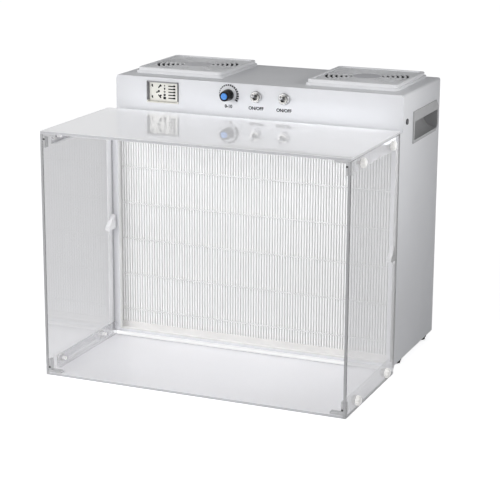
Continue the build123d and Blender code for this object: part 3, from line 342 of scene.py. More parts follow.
@dataclass(frozen=True)
class Moulding(Finish):
    """Moulded plastic, rubber, foam or glue with a fine grain; its emission is a painted glow,
    except on the light bar.
    """

    name: str
    colour: Colour
    roughness: float
    grain_per_metre: float = 2500.0
    grain_depth: float = 0.02 * MM
    shade: float = 0.93
    cloud_per_metre: float = 35.0
    smoother: float = 0.04
    rougher: float = 0.06
    patch_per_metre: float = 120.0
    # Emission strength: a painted glow on parts that are no lamp, and the lamp light of the light
    # bar.
    lamp_and_painted_glow: float = 0.0
    gloss: float = 0.5

    def shader(self, nodes: Nodes) -> bpy.types.Node:
        """Builds the finish.

        Args:
            nodes: Nodes of its material.

        Returns:
            Its last shader.
        """
        patches = nodes.noise(self.patch_per_metre)
        low, high = self.roughness - self.smoother, self.roughness + self.rougher
        clouds = nodes.noise(self.cloud_per_metre)
        sockets = {
            "Base Color": nodes.clouded(clouds, self.colour, self.shade),
            "Roughness": nodes.spread(patches, low, high),
            "Specular IOR Level": self.gloss,
            "Emission Color": self.colour,
            "Emission Strength": self.lamp_and_painted_glow,
            "Normal": nodes.relief(nodes.noise(self.grain_per_metre), self.grain_depth),
        }
        return nodes.add("BsdfPrincipled", sockets)


@dataclass(frozen=True)
class WindowFrame(Finish):
    """Display surround: grey sides darkening outwards as painted shade, a pale sill below."""

    name: str
    # inner and outer are painted shade of the recess walls, grey inside and near black at the
    # edges.
    inner: Colour
    outer: Colour
    sill: Colour
    fade_width: float = 3.0 * MM
    sill_height: float = 3.4 * MM
    smoothest: float = 0.25
    roughest: float = 0.4
    patch_per_metre: float = 150.0
    grain_per_metre: float = 2500.0
    grain_depth: float = 0.01 * MM

    def shader(self, nodes: Nodes) -> bpy.types.Node:
        """Builds the finish.

        Args:
            nodes: Nodes of its material.

        Returns:
            Its last shader.
        """
        low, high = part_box("display_bezel")
        half = (high.x - low.x) / 2
        offset = nodes.maths("SUBTRACT", nodes.along("X"), (low.x + high.x) / 2)
        # Painted shade: the sides darken towards their left and right edges.
        painted_shade_outwards = nodes.ranged(nodes.maths("ABSOLUTE", offset), (half - self.fade_width, half))
        painted_shade_sides = nodes.blend(painted_shade_outwards, self.inner, self.outer)
        below = nodes.maths("LESS_THAN", nodes.along("Z"), low.z + self.sill_height)
        patches = nodes.noise(self.patch_per_metre)
        sockets = {
            "Base Color": nodes.blend(below, painted_shade_sides, self.sill),
            "Roughness": nodes.spread(patches, self.smoothest, self.roughest),
            "Normal": nodes.relief(nodes.noise(self.grain_per_metre), self.grain_depth),
        }
        return nodes.add("BsdfPrincipled", sockets)


@dataclass(frozen=True)
class GuardGrille(Finish):
    """Pale guard plastic with a darker hub."""

    name: str
    colour: Colour
    hub: Colour
    hub_radius: float = 19.0 * MM
    hub_rim: float = 0.8 * MM
    smoothest: float = 0.32
    roughest: float = 0.44
    patch_per_metre: float = 120.0
    grain_per_metre: float = 2200.0
    grain_depth: float = 0.02 * MM

    def shader(self, nodes: Nodes) -> bpy.types.Node:
        """Builds the finish.

        Args:
            nodes: Nodes of its material.

        Returns:
            Its last shader.
        """
        reach = []
        for side in SIDES:
            centre = middle(f"fan_guard_{side}")
            ends = {0: nodes.place((1.0, 1.0, 0.0)), 1: (centre.x, centre.y, 0.0)}
            reach.append(nodes.add("VectorMath", ends, operation="DISTANCE").outputs["Value"])
        rim = (self.hub_radius, self.hub_radius + self.hub_rim)
        outside = nodes.ranged(nodes.maths("MINIMUM", *reach), rim)
        patches = nodes.noise(self.patch_per_metre)
        sockets = {
            "Base Color": nodes.blend(outside, self.hub, self.colour),
            "Roughness": nodes.spread(patches, self.smoothest, self.roughest),
            "Normal": nodes.relief(nodes.noise(self.grain_per_metre), self.grain_depth),
        }
        return nodes.add("BsdfPrincipled", sockets)


@dataclass(frozen=True)
class Metal(Finish):
    """Plated metal with fine wear."""

    name: str
    colour: Colour
    roughness: float
    shade: float = 0.86
    smoother: float = 0.75
    rougher: float = 1.3
    wear_per_metre: float = 700.0
    wear_detail: float = 3.0
    wear_depth: float = 0.004 * MM

    def shader(self, nodes: Nodes) -> bpy.types.Node:
        """Builds the finish.

        Args:
            nodes: Nodes of its material.

        Returns:
            Its last shader.
        """
        wear = nodes.noise(self.wear_per_metre, self.wear_detail)
        low, high = self.roughness * self.smoother, self.roughness * self.rougher
        sockets = {
            "Base Color": nodes.clouded(wear, self.colour, self.shade),
            "Roughness": nodes.spread(wear, low, high),
            "Metallic": 1.0,
            "Normal": nodes.relief(wear, self.wear_depth),
        }
        return nodes.add("BsdfPrincipled", sockets)


@dataclass(frozen=True)
class ClearSheet(Finish):
    """Polished acrylic that lets lamps through, with sawn grey edges that pale to the rear as
    painted light.
    """

    name: str
    # tint is partly the acrylic's own tint and partly painted shade of a dim backdrop seen through
    # the sheet.
    tint_and_painted_shade: Colour
    sawn: Colour
    # The rear edge colour is painted light, carried along the sheet to its rear edge.
    painted_light_rear_edge: Colour = (0.82, 0.82, 0.83)
    sawn_roughness: float = 0.45
    sawn_share: float = 0.85
    pale_from: float = 60.5 * MM
    pale_to: float = 20.5 * MM
    lamp_tint: Colour = (0.90, 0.90, 0.90)
    streak_shade: float = 0.975
    streak_per_metre: float = 160.0
    streak_stretch: Triple = (1.0, 1.0, 0.02)

    def shader(self, nodes: Nodes) -> bpy.types.Node:
        """Builds the finish.

        Args:
            nodes: Nodes of its material.

        Returns:
            Its last shader.
        """
        edge = nodes.sawn_edge("X")
        streaks = nodes.noise(self.streak_per_metre, stretch=self.streak_stretch)
        pane = nodes.clouded(streaks, self.tint_and_painted_shade, self.streak_shade)
        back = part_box("hood_side_left")[1].y
        # Painted light: the sawn edges pale towards the rear.
        rear = nodes.ranged(nodes.along("Y"), (back - self.pale_from, back - self.pale_to))
        sawn = nodes.blend(rear, self.sawn, self.painted_light_rear_edge)
        sockets = {
            "Base Color": nodes.blend(edge, pane, sawn),
            "Roughness": nodes.ranged(edge, levels=(0.0, self.sawn_roughness)),
            "Transmission Weight": nodes.ranged(edge, levels=(1.0, 1.0 - self.sawn_share)),
            "IOR": ACRYLIC_INDEX,
        }
        sheet = nodes.add("BsdfPrincipled", sockets)
        open_to_lamps = nodes.add("BsdfTransparent", {"Color": self.lamp_tint})
        return nodes.mixed(nodes.ray("Is Shadow Ray"), sheet, open_to_lamps)


@dataclass(frozen=True)
class OpalSheet(Finish):
    """Polished milky acrylic with duller sawn edges and a painted glow on its faces."""

    name: str
    colour: Colour
    # Emission on the faces is a painted glow.
    lamp_and_painted_glow: float = 0.13
    sawn: Colour = (0.62, 0.62, 0.64)
    roughness: float = 0.03
    glow: float = 0.6
    glow_reach: float = 10.0 * MM
    shade: float = 0.98
    cloud_per_metre: float = 6.0
    wave_per_metre: float = 7.0
    wave_depth: float = 0.04 * MM

    def shader(self, nodes: Nodes) -> bpy.types.Node:
        """Builds the finish.

        Args:
            nodes: Nodes of its material.

        Returns:
            Its last shader.
        """
        edge = nodes.sawn_edge("Z")
        face = nodes.clouded(nodes.noise(self.cloud_per_metre), self.colour, self.shade)
        sockets = {
            "Base Color": nodes.blend(edge, face, self.sawn),
            "Roughness": self.roughness,
            "IOR": ACRYLIC_INDEX,
            "Subsurface Weight": self.glow,
            "Subsurface Scale": self.glow_reach,
            "Subsurface Radius": WHITE,
            "Emission Color": self.colour,
            "Emission Strength": nodes.ranged(edge, levels=(self.lamp_and_painted_glow, 0.0)),
            "Normal": nodes.relief(nodes.noise(self.wave_per_metre), self.wave_depth),
        }
        return nodes.add("BsdfPrincipled", sockets)


@dataclass(frozen=True)
class PleatPaper(Finish):
    """Glass-fibre filter paper with a fine felt, pale with a painted glow on its folds and darker
    with painted shade between them.
    """

    name: str
    ridge: Colour
    shade: Colour
    # Painted shade deepens between the folds over these depths, and the painted glow fades.
    ridge_depth: float = 0.5 * MM
    shade_depth: float = 6.5 * MM
    lamp_and_painted_glow: float = 0.095
    gloss: float = 0.2
    roughness: float = 0.9
    felt_per_metre: float = 1800.0
    felt_detail: float = 4.0
    felt_depth: float = 0.08 * MM

    def shader(self, nodes: Nodes) -> bpy.types.Node:
        """Builds the finish.

        Args:
            nodes: Nodes of its material.

        Returns:
            Its last shader.
        """
        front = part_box("filter_media")[0].y
        # Depth between the folds, which sets the painted shade and fades the painted glow.
        depth = nodes.ranged(
            nodes.along("Y"), (front + self.ridge_depth, front + self.shade_depth)
        )
        felt = nodes.noise(self.felt_per_metre, self.felt_detail)
        sockets = {
            "Base Color": nodes.blend(depth, self.ridge, self.shade),
            "Roughness": self.roughness,
            "Specular IOR Level": self.gloss,
            "Emission Color": self.ridge,
            "Emission Strength": nodes.ranged(depth, levels=(self.lamp_and_painted_glow, 0.0)),
            "Normal": nodes.relief(felt, self.felt_depth),
        }
        return nodes.add("BsdfPrincipled", sockets)


@dataclass(frozen=True)
class GhostStrip(Finish):
    """Nearly invisible clear strip with a faint haze."""

    name: str
    colour: Colour
    haze: float
    thinner: float = 0.9
    thicker: float = 1.1
    cloud_per_metre: float = 40.0
    roughness: float = 0.12

    def shader(self, nodes: Nodes) -> bpy.types.Node:
        """Builds the finish.

        Args:
            nodes: Nodes of its material.

        Returns:
            Its last shader.
        """
        clouds = nodes.noise(self.cloud_per_metre)
        haze = nodes.spread(clouds, self.haze * self.thinner, self.haze * self.thicker)
        body = nodes.add("BsdfPrincipled", {"Base Color": self.colour, "Roughness": self.roughness})
        return nodes.mixed(haze, nodes.add("BsdfTransparent"), body)


@dataclass(frozen=True)
class StudioFloor(Finish):
    """Pale floor, white to the eye and with the object's shadow on it."""

    name: str
    colour: Colour
    lift: float
    pane_level: float

    def shader(self, nodes: Nodes) -> bpy.types.Node:
        """Builds the finish.

        Args:
            nodes: Nodes of its material.

        Returns:
            Its last shader.
        """
        pale = nodes.add("BsdfDiffuse", {"Color": self.colour})
        glow = nodes.maths("SUBTRACT", nodes.through_pane(self.pane_level), 1.0 - self.lift)
        lift = nodes.add("Emission", {"Color": WHITE, "Strength": glow})
        white = nodes.add("AddShader", {0: pale.outputs[0], 1: lift.outputs[0]})
        return nodes.mixed(nodes.seen(), pale, white)


class Finishes:
    """Every finish of the flow hood."""

    PAINT = PowderCoat("white_powder_coat", (0.86, 0.865, 0.885))
    RUBBER = Moulding("black_rubber", (0.02, 0.02, 0.02), roughness=0.7)
    SEAL = Moulding("grey_seal_strip", (0.60, 0.60, 0.61), roughness=0.6)
    BLACK_STEEL = Moulding("black_oxide", (0.03, 0.03, 0.032), roughness=0.35)
    ZINC = Metal("bright_zinc", (0.78, 0.79, 0.80), roughness=0.28)
    NICKEL = Metal("nickel_plate", (0.40, 0.395, 0.38), roughness=0.36)
    CHROME = Metal("satin_chrome", (0.58, 0.58, 0.585), roughness=0.36)
    # The filter paper is darker between its folds as painted shade, and glows on its folds as a
    # painted glow.
    PAPER = PleatPaper("filter_paper", ridge=(0.92, 0.92, 0.92), shade=(0.87, 0.87, 0.86))
    # The filter frame's emission is a painted glow.
    FRAME = Moulding(
        "pale_filter_frame",
        (0.88, 0.88, 0.87),
        roughness=0.4,
        grain_per_metre=400.0,
        grain_depth=0.03 * MM,
        lamp_and_painted_glow=0.08,
    )
    # The gasket's emission is a painted glow.
    GASKET = Moulding(
        "gasket_foam",
        (0.80, 0.80, 0.78),
        roughness=0.85,
        grain_per_metre=1200.0,
        grain_depth=0.1 * MM,
        lamp_and_painted_glow=0.05,
    )
    SEALANT = Moulding(
        "cream_sealant",
        (0.91, 0.895, 0.885),
        roughness=0.4,
        grain_per_metre=90.0,
        grain_depth=0.4 * MM,
    )
    # The glue's emission is a painted glow.
    GLUE = Moulding(
        "hot_melt_glue",
        (0.82, 0.82, 0.815),
        roughness=0.7,
        grain_per_metre=300.0,
        grain_depth=0.2 * MM,
        lamp_and_painted_glow=0.03,
    )
    FAN = Moulding("black_fan_plastic", (0.022, 0.022, 0.024), roughness=0.42)
    GUARD_BASE = Moulding("pale_guard_base", (0.88, 0.885, 0.90), roughness=0.4)
    GUARD = GuardGrille("pale_guard", (0.90, 0.905, 0.92), hub=(0.62, 0.62, 0.65))
    FOAM = Moulding(
        "black_dust_foam",
        (0.015, 0.015, 0.016),
        roughness=0.95,
        grain_per_metre=700.0,
        grain_depth=0.6 * MM,
    )
    # The surround's grey sides are painted shade; only its pale sill is its own colour.
    BEZEL = WindowFrame(
        "display_surround",
        inner=(0.30, 0.30, 0.31),
        outer=(0.07, 0.07, 0.075),
        sill=(0.80, 0.78, 0.72),
    )
    LCD = Moulding(
        "cream_display_cell",
        (0.86, 0.845, 0.78),
        roughness=0.12,
        grain_per_metre=4000.0,
        grain_depth=0.002 * MM,
    )
    INK = Moulding("dark_segments", (0.01, 0.009, 0.008), roughness=0.5, gloss=0.2)
    PRINT = Moulding("black_print", (0.006, 0.006, 0.007), roughness=0.6, gloss=0.1)
    BLACK = Moulding("black_plastic", (0.006, 0.006, 0.007), roughness=0.22, gloss=0.18)
    BLUE = Moulding("blue_cap", (0.05, 0.30, 0.86), roughness=0.25)
    HANDLE = Moulding("grey_handle_plastic", (0.48, 0.48, 0.485), roughness=0.42)
    # Both opal sheets glow on their faces: a painted glow.
    OPAL = OpalSheet("opal_acrylic", (0.94, 0.94, 0.965))
    OPAL_BASE = OpalSheet("opal_base", (0.91, 0.905, 0.935), lamp_and_painted_glow=0.07)
    # The clear sheet's grey tint is partly painted shade, and its paler rear edges are painted
    # light.
    CLEAR = ClearSheet("clear_acrylic", tint_and_painted_shade=(0.68, 0.68, 0.69), sawn=(0.50, 0.50, 0.51))
    RAIL = GhostStrip("clear_rail", (0.80, 0.80, 0.83), haze=0.26)
    BRACKET = GhostStrip("pale_bracket", (0.70, 0.70, 0.71), haze=0.7)
    TRIM = Moulding("white_edge_trim", (0.88, 0.88, 0.885), roughness=0.4)
    # The thumb screws' emission is a painted glow.
    NYLON = Moulding(
        "white_nylon",
        (0.92, 0.91, 0.89),
        roughness=0.35,
        grain_per_metre=1500.0,
        grain_depth=0.03 * MM,
        lamp_and_painted_glow=0.22,
    )
    DIFFUSER = Moulding("frosted_light_cover", (0.95, 0.97, 1.0), roughness=0.5, lamp_and_painted_glow=3.2)
    BOARD = Moulding("green_circuit_board", (0.02, 0.13, 0.05), roughness=0.35)


# ---------------------------------------------------------------- modelling helpers
def dress(finish: Finish, *patterns: str) -> None:
    """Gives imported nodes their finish.

    Args:
        finish: Finish for every slot of the nodes.
        *patterns: Node names; {side} and {level} stand for each side and level.
    """
    for pattern in patterns:
        names = [pattern.format(side=side, level=level) for side in SIDES for level in LEVELS]
        for name in dict.fromkeys(names):
            mesh = bpy.data.objects[name].data
            mesh.materials.clear()
            mesh.materials.append(finish.material())


def add_piece(
    shape: bmesh.types.BMesh, name: str, finish: Finish, slot: Slot, smooth: bool = True
) -> None:
    """Turns a finished shape into a piece that rides on the cabinet.

    Args:
        shape: Shape in metres, in the row frame; it is freed.
        name: Name of the piece.
        finish: Finish of the piece.
        slot: Material slot of the record; not used.
        smooth: Shades rounded faces smoothly.
    """
    bmesh.ops.remove_doubles(shape, verts=shape.verts[:], dist=MERGE_DISTANCE)
    bmesh.ops.recalc_face_normals(shape, faces=shape.faces[:])
    mesh = bpy.data.meshes.new(name)
    shape.to_mesh(mesh)
    shape.free()
    mesh.materials.append(finish.material())
    if smooth:
        mesh.shade_smooth()
        mesh.set_sharp_from_angle(angle=SMOOTH_ANGLE)
    thing = add_object(name, mesh)
    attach(thing, CABINET)
    LOG.info("piece %s: %d faces on %s", name, len(mesh.polygons), CABINET)


def facing_user(place: Vector) -> Matrix:
    """Places a shape drawn in XY, with +Z at the viewer, on a face towards the user.

    Args:
        place: Where the drawing's origin goes.

    Returns:
        Matrix from drawing to row frame.
    """
    return Matrix.Translation(place) @ Matrix.Rotation(math.radians(90), 4, "X")


def add_print(shape: bmesh.types.BMesh, name: str, finish: Finish, place: Vector) -> None:
    """Lays a drawing on a face towards the user.

    Args:
        shape: Drawing in XY; it is freed.
        name: Name of the piece.
        finish: Finish of the print.
        place: Where the drawing's origin goes.
    """
    bmesh.ops.transform(shape, matrix=facing_user(place), verts=shape.verts[:])
    add_piece(shape, name, finish, Slot.BLACK_PLASTIC, smooth=False)


def block(
    shape: bmesh.types.BMesh, size: Sequence[float], place: Matrix, round_off: float = 0.0
) -> None:
    """Adds a block to a shape.

    Args:
        shape: Shape that gains the block.
        size: Size along X, Y and Z.
        place: Matrix from a block about the origin to its place.
        round_off: Radius of its edges.
    """
    matrix = place @ Matrix.Diagonal((*size, 1.0))
    made = bmesh.ops.create_cube(shape, size=1.0, matrix=matrix)
    if round_off:
        edges = list({edge for vertex in made["verts"] for edge in vertex.link_edges})
        bmesh.ops.bevel(
            shape,
            geom=edges,
            offset=round_off,
            affect="EDGES",
            segments=2,
            profile=0.5,
            material=-1,
        )


def turned(
    shape: bmesh.types.BMesh,
    profile: Sequence[tuple[float, float]],
    place: Matrix,
    steps: int = 20,
) -> None:
    """Turns a profile about Z and adds it to a shape.

    Args:
        shape: Shape that gains the turning.
        profile: Radius and height of each point, from axis to axis.
        place: Matrix from the turning at the origin to its place.
        steps: Facets round the axis.
    """
    before = set(shape.verts)
    points = [shape.verts.new((radius, 0.0, height)) for radius, height in profile]
    edges = [shape.edges.new(pair) for pair in zip(points, points[1:])]
    bmesh.ops.spin(
        shape,
        geom=points + edges,
        axis=(0, 0, 1),
        cent=(0, 0, 0),
        angle=math.tau,
        steps=steps,
        use_merge=True,
    )
    made = [vertex for vertex in shape.verts if vertex not in before]
    bmesh.ops.remove_doubles(shape, verts=made, dist=MERGE_DISTANCE)
    made = [vertex for vertex in shape.verts if vertex not in before]
    bmesh.ops.transform(shape, matrix=place, verts=made)


# ---------------------------------------------------------------- sub-assemblies
class Cabinet:
    """Folded case with its feet, screws and electrics."""

    def build(self) -> None:
        """Dresses the case."""
        dress(Finishes.PAINT, "cabinet_shell", "front_fascia", "rear_panel", "base_pan")
        dress(Finishes.HANDLE, "handle_cup_{side}")
        dress(Finishes.RUBBER, "feet")
        dress(Finishes.BLACK_STEEL, "side_screws")
        dress(Finishes.ZINC, "rear_screws")
        dress(Finishes.BOARD, "control_board")
        dress(Finishes.BLACK, "power_inlet")


class FilterPack:
    """Pleated filter behind the front opening."""

    def build(self) -> None:
        """Dresses the filter."""
        dress(Finishes.PAPER, "filter_media")
        dress(Finishes.FRAME, "filter_frame")
        dress(Finishes.GASKET, "filter_gasket")
        dress(Finishes.SEALANT, "filter_sealant")
        dress(Finishes.GLUE, "filter_beads")
        dress(Finishes.ZINC, "filter_retainer_{side}")


class FanUnits:
    """Two fans under the lid, with guards over them."""

    def build(self) -> None:
        """Dresses both fans."""
        dress(Finishes.FAN, "fan_frame_{side}", "fan_impeller_{side}")
        dress(Finishes.GUARD_BASE, "guard_base_{side}")
        dress(Finishes.GUARD, "fan_guard_{side}")
        dress(Finishes.FOAM, "dust_pad_{side}")
        dress(Finishes.ZINC, "fan_screws")


@dataclass
class ControlStrip:
    """Speed dial and two toggle switches, with their printed marks."""

    scale_radius: float = 13.5 * MM
    scale_first_degrees: float = 205.0
    scale_last_degrees: float = -38.0
    scale_dashes: int = 18
    scale_dash_share: float = 0.7
    scale_thin: float = 0.5 * MM
    scale_thick: float = 4.2 * MM
    scale_growth: float = 1.1
    print_height: float = 0.04 * MM
    print_bold: float = 0.26 * MM
    label_size: float = 6.0 * MM
    label_drop: float = 15.9 * MM

    def build(self) -> None:
        """Dresses the strip and prints its marks."""
        dress(Finishes.BLACK, "speed_knob")
        dress(Finishes.BLUE, "knob_cap")
        dress(Finishes.NICKEL, "speed_pot", "pot_shaft", "light_switch_body", "power_switch_body")
        dress(Finishes.CHROME, "pot_nut", "switch_nuts", "light_switch_lever", "power_switch_lever")
        self.print_scale()
        light_x, power_x = self.switch_middles()
        self.print_words("dial_numbers", "0-10", middle("speed_knob").x)
        self.print_words("light_marks", "ON/OFF", light_x)
        self.print_words("power_marks", "ON/OFF", power_x)

    def switch_middles(self) -> tuple[float, float]:
        """Finds both switches by their nuts, which are as wide as the dial's knob.

        Returns:
            X of the light switch and of the power switch.
        """
        low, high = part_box("switch_nuts")
        knob_low, knob_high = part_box("speed_knob")
        radius = (knob_high.x - knob_low.x) / 2
        return low.x + radius, high.x - radius

    def strip_point(self, x: float, drop: float = 0.0) -> Vector:
        """Gives a point on the strip's painted face, some way below the dial's middle."""
        return Vector((x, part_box("pot_nut")[1].y, middle("pot_nut").z - drop))

    def print_scale(self) -> None:
        """Prints the growing dashes round the speed dial."""
        shape = bmesh.new()
        sweep = math.radians(self.scale_last_degrees - self.scale_first_degrees)
        pitch = sweep / self.scale_dashes
        length = abs(pitch) * self.scale_radius * self.scale_dash_share
        for index in range(self.scale_dashes):
            angle = math.radians(self.scale_first_degrees) + (index + 0.5) * pitch
            growth = ((index + 0.5) / self.scale_dashes) ** self.scale_growth
            depth = self.scale_thin + (self.scale_thick - self.scale_thin) * growth
            place = Matrix.Rotation(angle, 4, "Z") @ Matrix.Translation(
                (self.scale_radius, 0, self.print_height / 2)
            )
            block(shape, (depth, length, self.print_height), place)
        add_print(shape, "speed_scale", Finishes.PRINT, self.strip_point(middle("pot_nut").x))

    def print_words(self, name: str, words: str, x: float) -> None:
        """Prints a plain mark below the dial or a switch.

        Args:
            name: Name of the piece.
            words: What it says.
            x: Its middle.
        """
        curve = bpy.data.curves.new(name, "FONT")
        curve.body = words
        curve.size = self.label_size
        curve.align_x = "CENTER"
        curve.align_y = "CENTER"
        curve.extrude = self.print_height / 2
        curve.offset = self.print_bold
        text = add_object(name, curve)
        bpy.context.view_layer.update()
        mesh = bpy.data.meshes.new_from_object(text)
        bpy.data.objects.remove(text)
        shape = bmesh.new()
        shape.from_mesh(mesh)
        bpy.data.meshes.remove(mesh)
        add_print(shape, name, Finishes.PRINT, self.strip_point(x, self.label_drop))


class Mark(NamedTuple):
    """Segment of the display, in shares of its cell's width and height."""

    x: float
    z: float
    wide: float
    tall: float
    degrees: float = 0.0

    def moved(self, x: float, z: float, degrees: float = 0.0) -> "Mark":
        """Gives the same segment elsewhere, and turned."""
        return Mark(self.x + x, self.z + z, self.wide, self.tall, degrees)


@dataclass
class Display:
    """Display cell in its surround, with plain dark segments."""

    ink_height: float = 0.04 * MM
    row_count: int = 5
    row_pitch: float = 0.165
    row_marks: tuple[Mark, ...] = (Mark(0.79, 0.84, 0.25, 0.06), Mark(0.875, 0.85, 0.065, 0.10))
    gauge_x: float = 0.535
    gauge_top: float = 0.86
    gauge_pitch: float = 0.17
    gauge_width: float = 0.035
    gauge_growth: float = 0.015
    gauge_heights: tuple[float, ...] = (0.06, 0.09, 0.06, 0.10, 0.13)
    gauge_step: float = 0.06
    gauge_step_height: float = 0.03
    pointers: tuple[Triple, ...] = ((0.36, 0.80, 48.0), (0.30, 0.49, 18.0), (0.36, 0.25, -48.0))
    pointer_marks: tuple[Mark, ...] = (Mark(0.0, 0.0, 0.14, 0.07), Mark(0.035, 0.045, 0.055, 0.12))
    dot_heights: tuple[float, ...] = (0.84, 0.22)
    dot_marks: tuple[Mark, ...] = (Mark(0.10, 0.0, 0.05, 0.12), Mark(0.115, -0.07, 0.03, 0.05))

    def build(self) -> None:
        """Dresses the display and draws its segments."""
        dress(Finishes.BEZEL, "display_bezel")
        dress(Finishes.LCD, "display_module")
        low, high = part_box("display_module")
        width, height = high.x - low.x, high.z - low.z
        shape = bmesh.new()
        for mark in self.marks():
            centre = ((mark.x - 0.5) * width, (mark.z - 0.5) * height, self.ink_height / 2)
            place = Matrix.Translation(centre) @ Matrix.Rotation(math.radians(mark.degrees), 4, "Z")
            block(shape, (mark.wide * width, mark.tall * height, self.ink_height), place)
        face = middle("display_module")
        face.y = low.y
        add_print(shape, "display_segments", Finishes.INK, face)

    def marks(self) -> Iterator[Mark]:
        """Lists the segments: rows of bars, a gauge, three pointers and two dots.

        Yields:
            Each segment in turn.
        """
        for row in range(self.row_count):
            for mark in self.row_marks:
                yield mark.moved(0.0, -self.row_pitch * row)
        for row, tall in enumerate(self.gauge_heights):
            wide = self.gauge_width + self.gauge_growth * row
            z = self.gauge_top - self.gauge_pitch * row
            yield Mark(self.gauge_x, z, wide, tall)
            yield Mark(self.gauge_x, z - self.gauge_step, wide / 2, self.gauge_step_height)
        for x, z, degrees in self.pointers:
            for mark in self.pointer_marks:
                yield mark.moved(x, z, degrees)
        for z in self.dot_heights:
            for mark in self.dot_marks:
                yield mark.moved(0.0, z)


@dataclass
class Enclosure:
    """Open-fronted acrylic hood with its rails, brackets and thumb screws."""

    trim_width: float = 13.0 * MM
    trim_thickness: float = 0.6 * MM
    trim_gap: float = 0.15 * MM
    trim_round: float = 0.2 * MM
    screw_radius: float = 1.4 * MM
    screw_inset: float = 7.0 * MM
    screw_sunk: float = 0.2 * MM
    screw_rim: float = 0.25 * MM
    screw_crown: float = 0.5 * MM
    screw_crown_share: float = 0.6
    screw_recess: float = 0.1 * MM
    screw_recess_share: float = 0.35

    def build(self) -> None:
        """Dresses the hood."""
        dress(Finishes.OPAL, "hood_top")
        dress(Finishes.OPAL_BASE, "hood_bottom")
        dress(Finishes.CLEAR, "hood_side_{side}")
        dress(Finishes.NYLON, "thumb_screws")
        dress(Finishes.DIFFUSER, "light_bar")
        dress(Finishes.SEAL, "hood_seal_{side}")
        dress(Finishes.TRIM, "side_clip_{side}")
        dress(Finishes.RAIL, "hood_rail_{level}_{side}")
        dress(Finishes.BRACKET, "corner_bracket_{level}_{side}")
        self.line_rear_edges()
        self.screw_brackets()

    def line_rear_edges(self) -> None:
        """Lines the inner rear edge of each side panel with a white trim strip."""
        for side, sign in SIDES.items():
            low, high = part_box(f"hood_side_{side}")
            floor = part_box(f"hood_rail_bottom_{side}")[1].z
            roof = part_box(f"hood_rail_top_{side}")[0].z
            inner_x = min(abs(low.x), abs(high.x))
            centre = (
                sign * (inner_x - self.trim_gap - self.trim_thickness / 2),
                high.y - self.trim_gap - self.trim_width / 2,
                (floor + roof) / 2,
            )
            size = (self.trim_thickness, self.trim_width, roof - floor)
            shape = bmesh.new()
            block(shape, size, Matrix.Translation(centre), self.trim_round)
            add_piece(shape, f"edge_trim_{side}", Finishes.TRIM, Slot.WHITE_NYLON)

    def screw_profile(self) -> list[tuple[float, float]]:
        """Outlines the head of a bracket screw, with its recess.

        Returns:
            Radius and height of each point, from axis to axis.
        """
        recess_radius = self.screw_radius * self.screw_recess_share
        return [
            (0.0, -self.screw_sunk),
            (self.screw_radius, -self.screw_sunk),
            (self.screw_radius, self.screw_rim),
            (self.screw_radius * self.screw_crown_share, self.screw_crown),
            (recess_radius, self.screw_recess),
            (0.0, self.screw_recess),
        ]

    def screw_brackets(self) -> None:
        """Puts a small dark screw in the front of each corner bracket."""
        for level, inwards in LEVELS.items():
            shape = bmesh.new()
            for side, sign in SIDES.items():
                low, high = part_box(f"corner_bracket_{level}_{side}")
                outer_x = max(abs(low.x), abs(high.x))
                corner_z = low.z if inwards > 0 else high.z
                place = Vector(
                    (
                        sign * (outer_x - self.screw_radius),
                        low.y,
                        corner_z + inwards * self.screw_inset,
                    )
                )
                turned(shape, self.screw_profile(), facing_user(place))
            name = f"bracket_screws_{level}"
            add_piece(shape, name, Finishes.BLACK_STEEL, Slot.BLACK_STEEL)


# ---------------------------------------------------------------- studio
class Lamp(NamedTuple):
    """Soft rectangular lamp."""

    name: str
    place: Triple
    target: Triple
    size: tuple[float, float]
    watts: float
    spread_degrees: float = 180.0

    def add(self) -> None:
        """Adds the lamp to the scene."""
        light = bpy.data.lights.new(self.name, "AREA")
        light.shape = "RECTANGLE"
        light.size, light.size_y = self.size
        light.energy = self.watts
        light.spread = math.radians(self.spread_degrees)
        thing = add_object(self.name, light)
        thing.location = self.place
        beam = Vector(self.target) - Vector(self.place)
        thing.rotation_euler = beam.to_track_quat("-Z", "Y").to_euler()


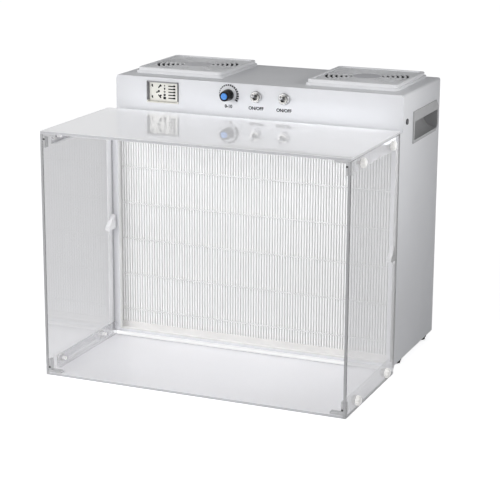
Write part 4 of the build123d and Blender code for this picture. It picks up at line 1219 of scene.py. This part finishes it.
@dataclass
class Studio:
    """Pale floor, soft lamps and the camera."""

    floor_size: float = 60.0
    floor_colour: Colour = (0.80, 0.80, 0.81)
    floor_lift: float = 0.80
    room_tint: Colour = (0.97, 0.98, 1.0)
    room_level: float = 0.285
    pane_level: float = 0.77
    gloss_left_level: float = 0.92
    gloss_right_level: float = 0.20
    gloss_rise: tuple[float, float] = (0.02, 0.16)  # Z of a direction, over which gloss dims
    gloss_turn: tuple[float, float] = (-0.48, -0.30)  # X of a direction, from left to right
    lamps: tuple[Lamp, ...] = (
        Lamp(
            "key_lamp",
            place=(-1.4, -2.2, 0.85),
            target=(0.0, 0.0, 0.25),
            size=(2.0, 1.2),
            watts=36.5,
        ),
        Lamp(
            "side_lamp",
            place=(0.85, -0.12, 0.62),
            target=(0.21, -0.08, 0.36),
            size=(0.25, 0.25),
            watts=0.29,
            spread_degrees=52.0,
        ),
        Lamp(
            "hood_lamp",
            place=(0.0, -0.06, 0.308),
            target=(0.0, -0.06, 0.0),
            size=(0.36, 0.02),
            watts=0.06,
        ),
    )
    camera_place: Triple = (0.8699, -2.0627, 0.7466)
    camera_azimuth: float = 0.3978  # radians, as the next two
    camera_elevation: float = 0.2605
    camera_roll: float = 0.0054
    camera_lens: float = 121.78
    camera_sensor: float = 36.0
    camera_reach: float = 100.0

    def build(self) -> None:
        """Builds floor, light and camera."""
        bpy.context.scene.view_settings.view_transform = "Standard"
        self.make_world()
        self.make_floor()
        for lamp in self.lamps:
            lamp.add()
        self.make_camera()

    def make_world(self) -> None:
        """Makes the even light of the room, white where a camera looks past the floor."""
        world = bpy.data.worlds.new("studio")
        bpy.context.scene.world = world
        world.use_nodes = True
        nodes = Nodes(world.node_tree, "OutputWorld")
        room = nodes.add("Background", {"Color": self.room_tint, "Strength": self.room_level})
        level = self.background_level(nodes)
        white = nodes.add("Background", {"Color": WHITE, "Strength": level})
        nodes.close(nodes.mixed(nodes.seen(), room, white))

    def background_level(self, nodes: Nodes) -> Socket:
        """Gives the background's level: white, and dimmer through clear sheet and for gloss.

        For gloss it dims upwards and to the right.

        Args:
            nodes: Nodes of the world.

        Returns:
            Value output.
        """
        direction = nodes.add("TexCoord").outputs["Generated"]
        towards = nodes.add("SeparateXYZ", {"Vector": direction}).outputs
        rise = nodes.ranged(towards["Z"], self.gloss_rise, interpolation="SMOOTHSTEP")
        losses = (1.0 - self.gloss_left_level, 1.0 - self.gloss_right_level)
        turn = nodes.ranged(towards["X"], self.gloss_turn, losses, "SMOOTHSTEP")
        upwards = nodes.maths("MULTIPLY", nodes.ray("Is Glossy Ray"), rise)
        dimming = nodes.maths("MULTIPLY", upwards, turn)
        return nodes.maths("SUBTRACT", nodes.through_pane(self.pane_level), dimming)

    def make_floor(self) -> None:
        """Makes the floor."""
        shape = bmesh.new()
        bmesh.ops.create_grid(shape, x_segments=1, y_segments=1, size=self.floor_size / 2)
        mesh = bpy.data.meshes.new("floor")
        shape.to_mesh(mesh)
        shape.free()
        finish = StudioFloor("pale_floor", self.floor_colour, self.floor_lift, self.pane_level)
        mesh.materials.append(finish.material())
        floor = add_object("floor", mesh)

    def make_camera(self) -> None:
        """Makes the camera."""
        data = bpy.data.cameras.new("camera")
        data.sensor_width = self.camera_sensor
        data.lens = self.camera_lens
        data.clip_end = self.camera_reach
        camera = add_object("camera", data)
        across, along = math.sin(self.camera_azimuth), math.cos(self.camera_azimuth)
        level = math.cos(self.camera_elevation)
        look = Vector((-across * level, along * level, -math.sin(self.camera_elevation)))
        roll = Matrix.Rotation(self.camera_roll, 3, "Z")
        camera.location = self.camera_place
        camera.rotation_euler = (look.to_track_quat("-Z", "Y").to_matrix() @ roll).to_euler()
        bpy.context.scene.camera = camera


def main() -> None:
    """Builds the dressed object and its studio."""
    logging.basicConfig(level=logging.INFO)
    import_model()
    units = (Cabinet, FilterPack, FanUnits, ControlStrip, Display, Enclosure, Studio)
    for unit in units:
        unit().build()
        LOG.info("built %s", unit.__name__)


if __name__ == "__main__":
    main()
